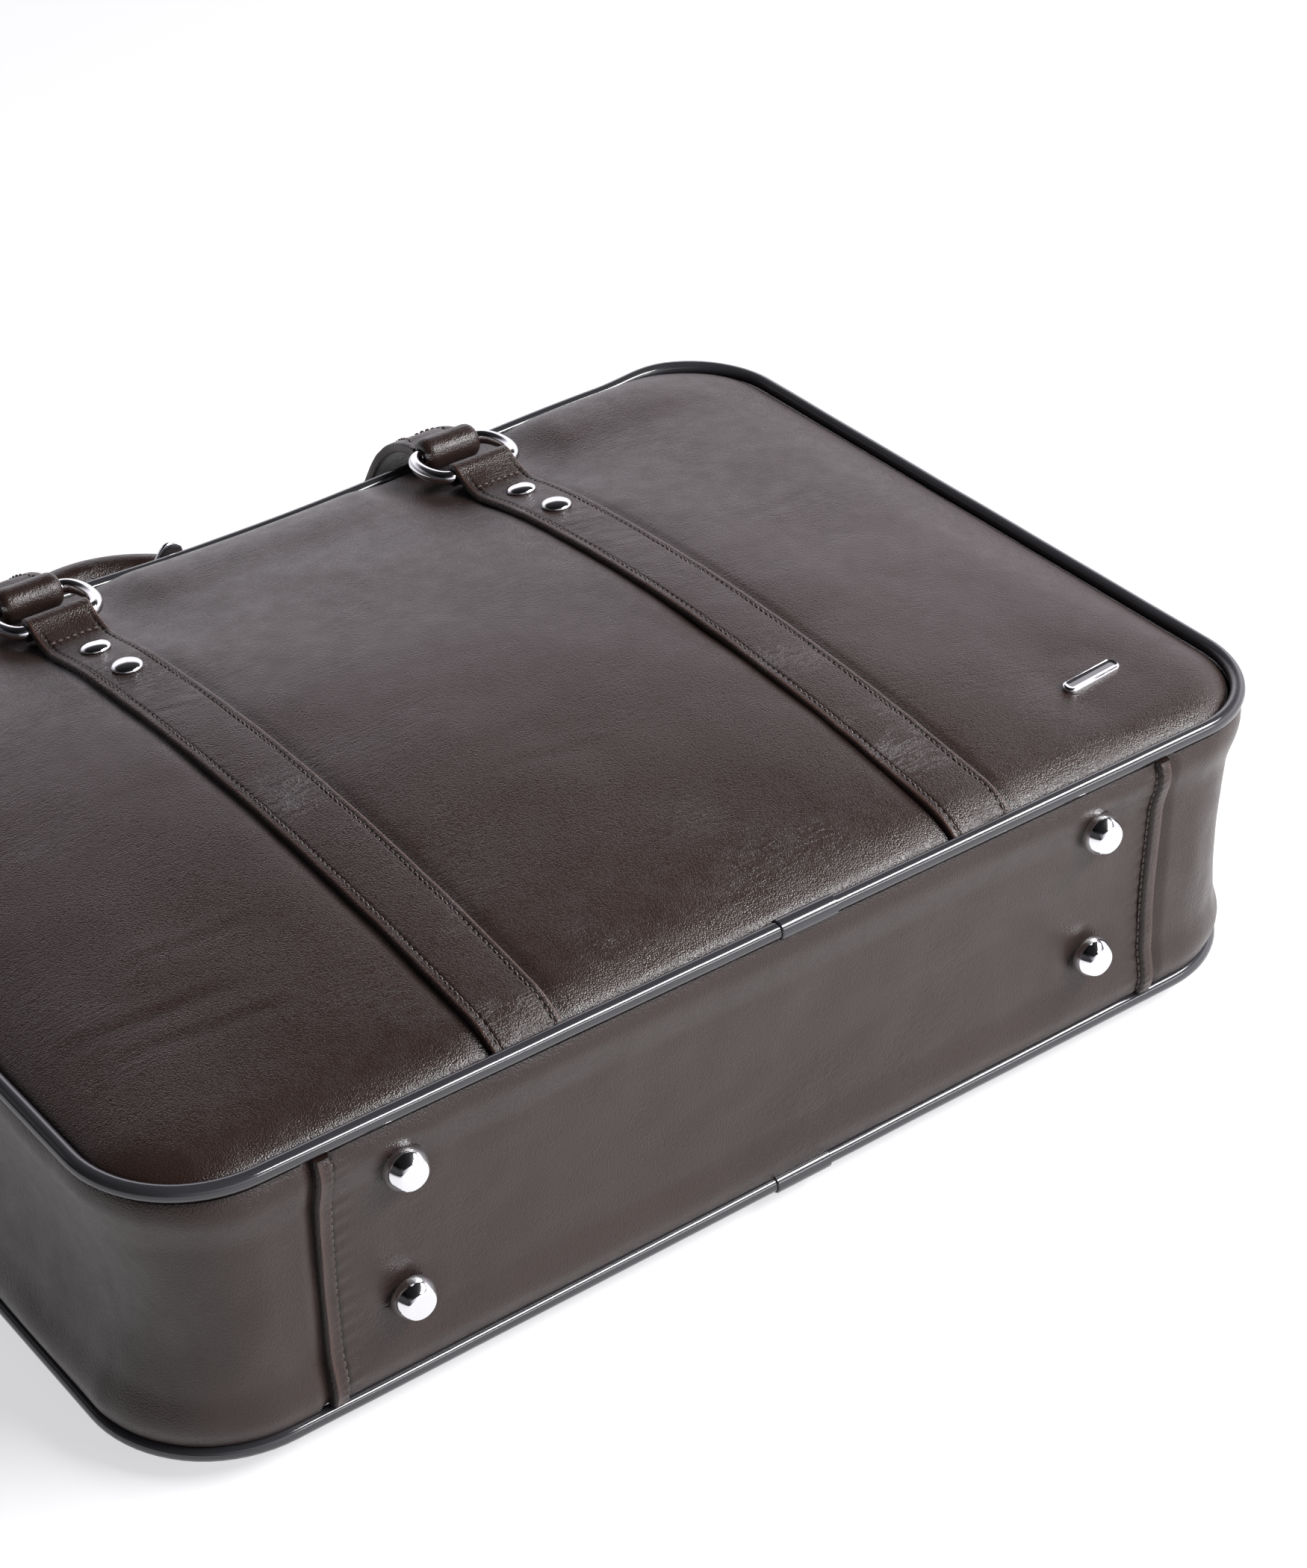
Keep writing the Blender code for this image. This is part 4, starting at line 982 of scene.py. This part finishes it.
def side_view(front):
    """Tables of reach, y, z and heading along a handle, from its ring to the far end of its arch."""
    _, (y, z) = FRONT_BARS if front else BACK_BARS
    step = 0.00025
    reach = np.arange(0, HANDLE_REACH + step, step)
    ways = np.array([float(heading(front, r + step / 2)) for r in reach])
    ys = y + np.concatenate([[0], np.cumsum(step * np.cos(ways))[:-1]])
    zs = z + np.concatenate([[0], np.cumsum(step * np.sin(ways))[:-1]])
    return reach, ys, zs, ways


def arch_x(reach):
    return HANDLE_HALF * np.sqrt(np.maximum(0.0, 1 - (reach / HANDLE_REACH) ** 2))


def make_handle(face, front):
    """One band of leather: two flat stitched ends that close round a rolled grip."""
    table = side_view(front)
    thick = 0.0038 if front else 0.0026
    tab_end = 0.0372 if front else 0.0340
    start = 0.0040
    tab = np.arange(start, tab_end, STITCH_PITCH / 4)
    share = ramp((tab - start) / (tab_end - start))
    tab_x = STRAP_X + (arch_x(tab) - STRAP_X) * share
    turn = np.linspace(math.asin(tab_end / HANDLE_REACH), math.pi / 2, 64)
    reach = np.concatenate([tab, HANDLE_REACH * np.sin(turn)])
    x = np.concatenate([tab_x, HANDLE_HALF * np.cos(turn)])
    reach = np.concatenate([reach, reach[-2::-1]])
    x = np.concatenate([-x, x[-2::-1]])
    y = np.interp(reach, table[0], table[1])
    z = np.interp(reach, table[0], table[2])
    way = np.interp(reach, table[0], table[3])
    points = np.stack([x, y, z], -1)
    normal = np.stack([0 * x, -np.sin(way), np.cos(way)], -1)
    grown = ramp((reach - (0.0428 if front else 0.0346)) / 0.028)
    taper = ramp((reach - start) / (tab_end - start))
    half_wide = (0.0110 - 0.0029 * taper) * (1 - grown) + GRIP_RADIUS * grown
    half_thick = (thick / 2) * (1 - grown) + GRIP_RADIUS * grown
    power = 0.24 * (1 - grown) + 1.0 * grown
    sides = 40
    phi = 2 * np.pi * (np.arange(sides) + 0.5) / sides
    cosine, sine = np.cos(phi)[None], np.sin(phi)[None]
    across = half_wide[:, None] * np.sign(cosine) * np.abs(cosine) ** power[:, None]
    above = half_thick[:, None] * np.sign(sine) * np.abs(sine) ** power[:, None]
    vee = 0.0084 * np.clip(1 - (reach - 0.007) / 0.029, 0, 1)
    flat_part = (1 - grown) * ramp((0.0375 - reach) / 0.004)
    tuck = bell((np.abs(across) - vee[:, None]) / 0.0006) * flat_part[:, None]
    core = ramp((vee[:, None] - np.abs(across)) / 0.002 + 0.3)
    core = core * (ramp((reach - 0.008) / 0.01) * flat_part)[:, None]
    upper = ramp(sine / 0.3 + 0 * across)
    above = above + upper * (-0.00055 * tuck + 0.0007 * core)
    folds = wavy(across * 0.5, reach[:, None], above, 0.0045, 23.0)
    above = above + 0.00018 * folds * upper * ramp((0.060 - reach) / 0.02)[:, None]
    seam = bell((phi[None] - 1.5 * np.pi) / 0.09) * grown[:, None]
    above = above + 0.0006 * seam
    _, side_way, up_way = frames(points, normal)
    rings = points[:, None] + side_way[:, None] * across[..., None] + up_way[:, None] * above[..., None]
    # Painted shade in the stitched tucks and along the grip's seam; paler worn edges on the flat ends.
    shade = -0.8 * tuck * upper - 0.7 * seam
    shade += 0.25 * bell((np.abs(cosine) - 1) / 0.06) * (1 - grown)[:, None]
    made = loft(face + "_handle_leather", rings, HANDLE_HIDE, False, None, shade)
    ends = ["%s_handle_%s_end" % (face, s) for s in ("left", "right")]
    if front:
        stand_in(made, ends + [face + "_handle_grip"], None)
        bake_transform(made)
    else:
        stand_in(made, ends + [face + "_handle_grip"], "back_handle")
    body = "front_handle_ends" if front else "back_handle"
    lines = []
    last = int(np.searchsorted(tab, 0.0345 if front else 0.0325))
    first = int(np.searchsorted(tab, 0.0085))
    count = len(reach)
    for low, high in ((first, last), (count - last, count - first)):
        for sign in (-1, 1):
            spot = points[low:high] + side_way[low:high] * (sign * vee[low:high, None])
            spot = spot + up_way[low:high] * (half_thick[low:high, None] + 0.0001)
            lines.append((spot, up_way[low:high]))
    stitches(face + "_handle_stitches", body, lines, radius=0.00032)
    loops(face, front, body)


LOOP_HALF = 0.0107


def loops(face, front, body):
    """The folded ends that wrap the rings' far bars."""
    _, bar = FRONT_BARS if front else BACK_BARS
    outer, inner = (0.0057, 0.00275) if front else (0.0044, 0.00275)
    shares = [1, 0.99, 0.96, 0.91, 0.84, 0.75, 0.6, 0.3, 0]
    for side_name, side in (("left", -1), ("right", 1)):
        turn = np.radians(np.linspace(16, 344, 60))
        a = np.array([-s for s in shares] + shares[-2::-1]) * LOOP_HALF
        edge = np.clip((LOOP_HALF - np.abs(a)) / 0.0030, 0, 1)
        swell = np.sqrt(1 - (1 - edge) ** 2) * (outer - inner - 0.0003) + 0.0003
        saddle = 0.00022 * (np.abs(a) / LOOP_HALF) ** 2
        rings = []
        for t in turn:
            crinkle = 0.00010 * noise.noise(Vector((side * 3.0, t * 9.0, 0.0)))
            top = [(side * STRAP_X + v, inner + s + w + crinkle) for v, s, w in zip(a, swell, saddle)]
            top[0], top[-1] = (top[0][0], inner + 0.0003), (top[-1][0], inner + 0.0003)
            low = [(side * STRAP_X + v, inner) for v in a[::-1]]
            rings.append([(x, bar[0] + r * math.cos(t), bar[1] + r * math.sin(t)) for x, r in top + low])
        name = "%s_handle_%s_loop" % (face, side_name)
        made = loft(name, np.array(rings)[:, ::-1], HANDLE_HIDE, False, 60)
        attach(made, body)


make_handle("front", True)
make_handle("back", False)


# ---- Zip ------------------------------------------------------------------------------


def strip_path(side):
    """(y, z) of a zip strip's outer side: out from under the piping, down to the fold and to the teeth."""
    rim = FRONT_Z if side > 0 else BACK_Z
    fold = rim - side * FOLD_Z
    face = HEIGHT / 2 + STRIP_FACE
    spots = [
        (HEIGHT / 2 - 0.0004, rim - side * 0.0034),
        (face - 0.0007, rim - side * 0.0055),
        (face, rim - side * 0.0085),
        (face, fold),
        (face + 0.0002, MIDDLE_Z + side * 0.014),
        (face, MIDDLE_Z + side * 0.0065),
        (face - 0.0002, MIDDLE_Z + side * 0.0036),
        (face - 0.0009, MIDDLE_Z + side * 0.0032),
    ]
    line = np.array([(0.0, y, z) for y, z in spots])
    return walk(line, 0.0009)[:, 1:]


def make_strips():
    face_y = HEIGHT / 2 + STRIP_FACE
    for name, side in (("front", 1), ("back", -1)):
        rim = FRONT_Z if side > 0 else BACK_Z
        path = strip_path(side)
        xs = np.linspace(-MOUTH_HALF, MOUTH_HALF, 190)
        x = np.broadcast_to(xs[:, None], (len(xs), len(path)))
        y = np.broadcast_to(path[:, 0], x.shape).copy()
        z = np.broadcast_to(path[:, 1], x.shape).copy()
        near_rim = ramp(1 - np.abs(z - rim) / FOLD_Z)
        if side > 0:
            z -= sag(x, 0 * x + HEIGHT / 2) * near_rim
        away = np.abs(z - MIDDLE_Z)
        y += 0.00035 * wavy(x, z, 0, 0.016, 31.0 + side) * ramp((away - 0.0045) / 0.004)
        y -= 0.00035 * bell((away - 0.0062) / 0.0005)
        outer = np.stack([x, y, z], -1)
        inner = outer - np.array([0, 0.0018, 0])
        inner[..., 2] += side * 0.0002
        # Painted shade along the stitch groove.
        shade = -0.8 * bell((away - 0.0062) / 0.0006)
        made = shell(name + "_zip_leather", outer, inner, HIDE, flip=side > 0, shade=shade)
        stand_in(made, [name + "_rim", name + "_zip_strip"], None)
        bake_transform(made)
        seam_x = np.linspace(-MOUTH_HALF + 0.002, MOUTH_HALF - 0.002, 200)
        line = np.array([(v, face_y - 0.00025, MIDDLE_Z + side * 0.0062) for v in seam_x])
        stitches(name + "_zip_stitches", name + "_zip_flap", [(line, (0.0, 1.0, 0.0))])
        make_tape(name, side)


def make_tape(name, side):
    face = HEIGHT / 2 + STRIP_FACE
    front, back = -0.0010, -0.0023
    shape = [(front, 0.0005), (front, 0.0022), (back, 0.0026), (back, 0.0110)]
    shape += [(back - 0.0007, 0.0110), (back - 0.0007, 0.0005)]
    rings = []
    for x in np.linspace(-MOUTH_HALF, MOUTH_HALF, 120):
        rings.append([(x, face + y + 0.00004 * math.sin(x * 3000), MIDDLE_Z + side * z) for y, z in shape])
    rings = np.array(rings)
    made = loft(name + "_zip_tape_weave", rings if side > 0 else rings[:, ::-1], TAPE, False, 30)
    stand_in(made, [name + "_zip_tape"], name + "_zip_flap")
    points, faces = [], []
    block = [(0, 1, 5, 4), (1, 2, 6, 5), (2, 3, 7, 6), (3, 0, 4, 7), (3, 2, 1, 0), (4, 5, 6, 7)]
    block = block if side > 0 else [q[::-1] for q in block]
    shift = 0.0 if side > 0 else 0.0011
    stem, head = (0.0006, 0.0030, 0.00045, 0.0010), (-0.0006, 0.0006, 0.0006, 0.0007)
    for x in np.arange(-MOUTH_HALF + 0.003, MOUTH_HALF - 0.003, 0.0022):
        for low, high, half, thick in (stem, head):
            start = len(points)
            for z in (low, high):
                for u, v in ((-1, -1), (1, -1), (1, 1), (-1, 1)):
                    points.append((x + shift + u * half, face - 0.0009 + v * thick, MIDDLE_Z + side * z))
            faces += [[start + k for k in q] for q in block]
    teeth = add_mesh(name + "_zip_teeth", points, faces, TEETH, 30)
    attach(teeth, name + "_zip_flap")


def rounded_block(name, low, high, finish, bevel, segments=3):
    low, high = np.array(low), np.array(high)
    points = [[(low, high)[(k >> a) & 1][a] for a in range(3)] for k in range(8)]
    faces = [(0, 2, 3, 1), (4, 5, 7, 6), (0, 1, 5, 4), (2, 6, 7, 3), (0, 4, 6, 2), (1, 3, 7, 5)]
    made = add_mesh(name, points, faces, finish)
    maker = made.modifiers.new("Bevel", "BEVEL")
    maker.width = bevel
    maker.segments = segments
    maker.limit_method = "NONE"
    bake(made)
    made.data.shade_smooth()
    made.data.set_sharp_from_angle(angle=math.radians(50))
    return made


def bake(made):
    """Turns an object's modifiers into its mesh."""
    shown = made.evaluated_get(bpy.context.evaluated_depsgraph_get())
    mesh = bpy.data.meshes.new_from_object(shown)
    made.modifiers.clear()
    made.data = mesh


def join(name, parts):
    """One mesh from several loose ones, each a closed piece."""
    points, faces, finish = [], [], parts[0].data.materials[0]
    for part in parts:
        start = len(points)
        points += [tuple(v.co) for v in part.data.vertices]
        faces += [[start + k for k in f.vertices] for f in part.data.polygons]
        bpy.data.objects.remove(part)
    return add_mesh(name, points, faces, finish, 50)


# (reach from the hinge, half size) along a zip pull.
PULL_HALF_WIDTH = (
    (0, 0.0020),
    (0.0006, 0.0026),
    (0.003, 0.0026),
    (0.006, 0.0028),
    (0.009, 0.0040),
    (0.012, 0.0044),
    (0.044, 0.0044),
    (0.0465, 0.0040),
    (0.048, 0.0024),
)
PULL_HALF_THICK = (
    (0, 0.0008),
    (0.0006, 0.0012),
    (0.003, 0.0009),
    (0.006, 0.0008),
    (0.009, 0.0009),
    (0.012, 0.0010),
    (0.047, 0.0010),
    (0.048, 0.0006),
)


def make_sliders():
    deck = HEIGHT / 2 + STRIP_FACE + 0.0003
    for name, x, rise in SLIDERS:
        low, high = (x - 0.0060, deck, MIDDLE_Z - 0.0045), (x + 0.0060, deck + 0.0016, MIDDLE_Z + 0.0045)
        parts = [rounded_block("deck", low, high, CHROME, 0.0006)]
        for offset in (-0.0036, 0.0036):
            low = (x + offset - 0.0007, deck + 0.0010, MIDDLE_Z - 0.0022)
            high = (low[0] + 0.0014, deck + 0.0045, MIDDLE_Z + 0.0022)
            parts.append(rounded_block("lug", low, high, CHROME, 0.0004))
        made = join(name + "_zip_slider_body", parts)
        stand_in(made, [name + "_zip_slider"], name + "_slider")
        axis = np.array([x, deck + 0.0030, MIDDLE_Z])
        reach = np.concatenate([np.linspace(0, 0.012, 25), np.linspace(0.013, 0.048, 36)])
        angle = PULL_LEAN * ramp((reach - 0.003) / 0.007)
        step = np.diff(reach, prepend=0)
        run, climb = np.cumsum(step * np.sin(angle)), np.cumsum(step * np.cos(angle))
        points = axis + np.stack([run, math.sin(PULL_OUT) * climb, rise * math.cos(PULL_OUT) * climb], -1)
        wide, tall = (np.interp(reach, *zip(*table)) for table in (PULL_HALF_WIDTH, PULL_HALF_THICK))
        turn = 2 * np.pi * (np.arange(20) + 0.5) / 20
        across = wide[:, None] * np.sign(np.cos(turn)) * np.abs(np.cos(turn)) ** 0.3
        above = tall[:, None] * np.sign(np.sin(turn)) * np.abs(np.sin(turn)) ** 0.5
        ways = np.array([0, math.cos(PULL_OUT), -rise * math.sin(PULL_OUT)])
        rings = tube_rings(points, ways, np.stack([across, above], -1))
        made = loft(name + "_zip_pull_tab", rings, CHROME, False, 50)
        stand_in(made, [name + "_zip_pull"], name + "_pull")


def make_zip_tabs():
    face = HEIGHT / 2 + float(gusset_offset(MIDDLE_Z, 0.0)) + 0.0003
    for name, side in (("left_zip_tab", -1), ("right_zip_tab", 1)):
        low, high = sorted((side * (MOUTH_HALF + 0.0006), side * (LENGTH / 2 - BACK_CORNER + 0.0038)))
        corners = (low, face, MIDDLE_Z - 0.008), (high, face + 0.0014, MIDDLE_Z + 0.008)
        made = rounded_block(name + "_leather", *corners, STRAP_HIDE, 0.0005)
        stand_in(made, [name], "case")
        line = [(low + 0.0015, -1), (low + 0.0015, 1), (high - 0.0015, 1), (high - 0.0015, -1)]
        around = np.array([(x, face + 0.0015, MIDDLE_Z + up * 0.0065) for x, up in line + line[:1]])
        stitches(name + "_stitches", "case", [(around, (0.0, 1.0, 0.0))], 0.0021)


make_strips()
make_sliders()
make_zip_tabs()


# ---- Feet, emblem, inside -------------------------------------------------------------


def make_feet():
    face = -HEIGHT / 2 - float(gusset_offset(FOOT_Z[0], 0.0))
    flank = [(0.0063, 0.0), (0.0066, 0.0004), (0.0067, 0.0012), (0.0066, 0.0020), (0.0064, 0.0028)]
    shoulder = [(0.0060, 0.0037), (0.0054, 0.0047), (0.0048, 0.0056), (0.0045, 0.0059), (0.0042, 0.0061)]
    profile = flank + shoulder + [(0.0038, 0.0062), (0.0028, 0.0062)]
    washer = [(0.0066, 0.0), (0.0070, 0.0002), (0.0070, 0.0008), (0.0066, 0.0010)]
    washer += [(0.0022, 0.0010), (0.0018, 0.0009)]
    for column, x in (("left", -FOOT_X), ("right", FOOT_X)):
        for row, z in (("back", FOOT_Z[0]), ("front", FOOT_Z[1])):
            outward = Matrix.Rotation(math.radians(90), 4, "X")
            outward.translation = (x, face - 0.0003, z)
            made = turned("foot_%s_%s_stud" % (column, row), profile, 48, outward, CHROME, 20)
            stand_in(made, ["foot_%s_%s" % (column, row)], "case")
            inward = Matrix.Rotation(math.radians(-90), 4, "X")
            inward.translation = (x, face + GUSSET_THICK + 0.0034, z)
            made = turned("foot_washer_%s_%s_disc" % (column, row), washer, 36, inward, TEETH, 30)
            stand_in(made, ["foot_washer_%s_%s" % (column, row)], "case")


def make_emblem():
    """A plain oblong plate with rounded ends."""
    length, width, thick = 0.024, 0.0055, 0.0012
    matrix = on_surface(*EMBLEM_AT, front_level, 1, 0.0002) @ Matrix.Rotation(EMBLEM_TURN, 4, "Z")
    levels = [(-0.0004, 0.0), (0.0, 0.0), (thick * 0.55, 0.0), (thick * 0.85, 0.0003), (thick, 0.0007)]
    levels += [(thick * 0.8, 0.0011), (thick * 0.8, 0.0020)]
    rings = []
    for height, inset in levels:
        ring = []
        for side in (1, -1):
            for k in range(17):
                turn = math.radians(-90 + 180 * k / 16) + (0 if side > 0 else math.pi)
                reach = width / 2 - inset
                x = side * (length - width) / 2 + reach * math.cos(turn)
                ring.append(matrix @ Vector((x, reach * math.sin(turn), height)))
        rings.append(ring)
    count = len(rings[0])
    faces = [f[::-1] for f in quads(len(rings), count, 0, False, True)]
    faces += [list(range(count))[::-1], list(range((len(rings) - 1) * count, len(rings) * count))]
    made = add_mesh("emblem_plate_blank", rings, faces, CHROME, 40)
    stand_in(made, ["emblem_plate"], "case")


def make_linings():
    for name, front in (("front_lining", True), ("back_lining", False)):
        radius = FRONT_CORNER if front else BACK_CORNER
        x, y = panel_xy(np.linspace(-0.197, 0.197, 70), np.linspace(-1, 1, 50), radius)
        if front:
            level = FRONT_Z - EDGE_DROP + FRONT_DOME * pillow(x, y) - sag(x, y) - PANEL_THICK - 0.0010
        else:
            level = np.maximum(BACK_Z + EDGE_DROP - BACK_DOME * pillow(x, y), 0.0019) + PANEL_THICK + 0.0010
            level = level + np.maximum(0.0, 0.0144 - level) * ramp((y - 0.088) / 0.008)
        inward = -1 if front else 1
        ripple = 0.0004 * wavy(x, y * 0.4, 0, 0.03, 41.0) - 0.0004
        outer = np.stack([x, y, level + inward * np.abs(ripple)], -1)
        inner = outer + np.array([0, 0, inward * 0.0006])
        made = shell(name + "_cloth", outer, inner, LINING, flip=not front)
        stand_in(made, [name], "case")


def make_divider():
    half_x, low_y, high_y, half = 0.186, -0.1365, 0.094, 0.003
    u = np.sin(np.linspace(-1, 1, 72) * math.pi / 2)
    v = np.sin(np.linspace(-1, 1, 48) * math.pi / 2)
    uu, vv = np.meshgrid(u, v, indexing="ij")
    y = (low_y + high_y) / 2 + vv * (high_y - low_y) / 2
    x = uu * half_x * (1 - 0.17 * (1 - ramp((y - low_y) / 0.045)))
    edge = np.minimum((1 - np.abs(uu)) * half_x, (1 - np.abs(vv)) * (high_y - low_y) / 2)
    puff = 0.0012 + (half - 0.0012) * (1 - (1 - np.clip(edge / 0.016, 0, 1)) ** 2)
    puff -= 0.0011 * bell((edge - 0.009) / 0.0012)
    puff += 0.0003 * wavy(x, y, 0, 0.03, 43.0) * ramp(edge / 0.02)
    puff = np.minimum(puff, half)
    outer, inner = np.stack([x, y, 0.044 + puff], -1), np.stack([x, y, 0.044 - puff], -1)
    made = shell("laptop_divider_pad", outer, inner, LINING)
    stand_in(made, ["laptop_divider"], "case")


make_feet()
make_emblem()
make_linings()
make_divider()
base_board = rounded_block("base_board_fibre", *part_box("base_board"), BOARD, 0.0006, 2)
stand_in(base_board, ["base_board"], "case")


# ---- Floor, light and camera ----------------------------------------------------------


CAMERA_AT, CAMERA_AIM = Vector((-0.4812, -0.7324, 0.6722)), Vector((0.07519, 0.01080, 0.0370))
CAMERA_LENS, CAMERA_ROLL = 79.17, math.radians(-0.52)
FLOOR_HALF, FLOOR_GLOW = 20, 0.62
# Brightness of the studio against the height of the direction looked in.
SKY = ((0.0, 0.75), (0.16, 1.10), (0.36, 1.50), (0.46, 1.00), (0.53, 0.32), (0.60, 0.04), (1.0, 0.01))
# The same against its X.
SKY_SIDE = {"From Min": -0.75, "From Max": 0.30, "To Min": 0.03, "To Max": 1.0}
SKY_STRENGTH = 1.5


def make_floor():
    n = Nodes("white_floor")
    tone = n.noise(0.6, 1.0)
    n.set(Base_Color=n.mix(tone, (0.42, 0.42, 0.425), (0.45, 0.45, 0.45)), Roughness=0.9)
    across = n.add("ShaderNodeSeparateXYZ", {"Vector": n.place}).outputs["X"]
    glow = n.span(across, -1.4, -0.6)
    n.set(Emission_Color=n.mix(glow, (0.05, 0.05, 0.05), (0.98, 0.98, 1.0)), Emission_Strength=FLOOR_GLOW)
    corners = [(x * FLOOR_HALF, y * FLOOR_HALF, 0) for x, y in ((-1, -1), (1, -1), (1, 1), (-1, 1))]
    floor = add_mesh("floor", corners, [(0, 1, 2, 3)], n.material)
    floor.location.z = -0.0001


def make_light(name, place, aim, size, power):
    lamp = bpy.data.lights.new(name, "AREA")
    lamp.shape = "RECTANGLE"
    lamp.size, lamp.size_y = size
    lamp.energy = power
    made = bpy.data.objects.new(name, lamp)
    made.location = place
    made.rotation_euler = (Vector(aim) - Vector(place)).to_track_quat("-Z", "Y").to_euler()
    bpy.context.scene.collection.objects.link(made)


def make_world():
    """A white sweep up to a low height, dark room above it, darker on the left."""
    world = bpy.data.worlds.new("studio")
    bpy.context.scene.world = world
    world.use_nodes = True
    tree = world.node_tree
    coord = tree.nodes.new("ShaderNodeTexCoord")
    split = tree.nodes.new("ShaderNodeSeparateXYZ")
    tones = tree.nodes.new("ShaderNodeValToRGB")
    tree.links.new(coord.outputs["Generated"], split.inputs[0])
    tree.links.new(split.outputs["Z"], tones.inputs[0])
    while len(tones.color_ramp.elements) < len(SKY):
        tones.color_ramp.elements.new(0.5)
    for element, (at, tone) in zip(tones.color_ramp.elements, SKY):
        element.position = at
        element.color = (tone, tone * 0.96, tone * 1.04, 1.0)
    side = tree.nodes.new("ShaderNodeMapRange")
    tree.links.new(split.outputs["X"], side.inputs["Value"])
    for socket, value in SKY_SIDE.items():
        side.inputs[socket].default_value = value
    lit = tree.nodes.new("ShaderNodeMix")
    lit.data_type = "RGBA"
    lit.blend_type = "MULTIPLY"
    lit.inputs["Factor"].default_value = 1.0
    tree.links.new(tones.outputs["Color"], lit.inputs["A"])
    tree.links.new(side.outputs["Result"], lit.inputs["B"])
    tree.links.new(lit.outputs["Result"], tree.nodes["Background"].inputs["Color"])
    tree.nodes["Background"].inputs["Strength"].default_value = SKY_STRENGTH


def make_camera():
    camera = bpy.data.cameras.new("camera")
    camera.lens = CAMERA_LENS
    camera.clip_end = 50
    made = bpy.data.objects.new("camera", camera)
    look = (CAMERA_AIM - CAMERA_AT).to_track_quat("-Z", "Y").to_matrix()
    rolled = (look @ Matrix.Rotation(CAMERA_ROLL, 3, "Z")).to_4x4()
    made.matrix_world = Matrix.Translation(CAMERA_AT) @ rolled
    bpy.context.scene.collection.objects.link(made)
    bpy.context.scene.camera = made


make_floor()
make_world()
make_light("key_softbox", (0.72, -0.72, 1.05), (0.0, -0.05, 0.08), (1.1, 0.26), 34)
make_light("front_strip", (1.05, -1.75, 0.78), (0.0, -0.12, 0.08), (1.3, 0.14), 8)
make_camera()
bpy.context.scene.view_settings.view_transform = "Standard"
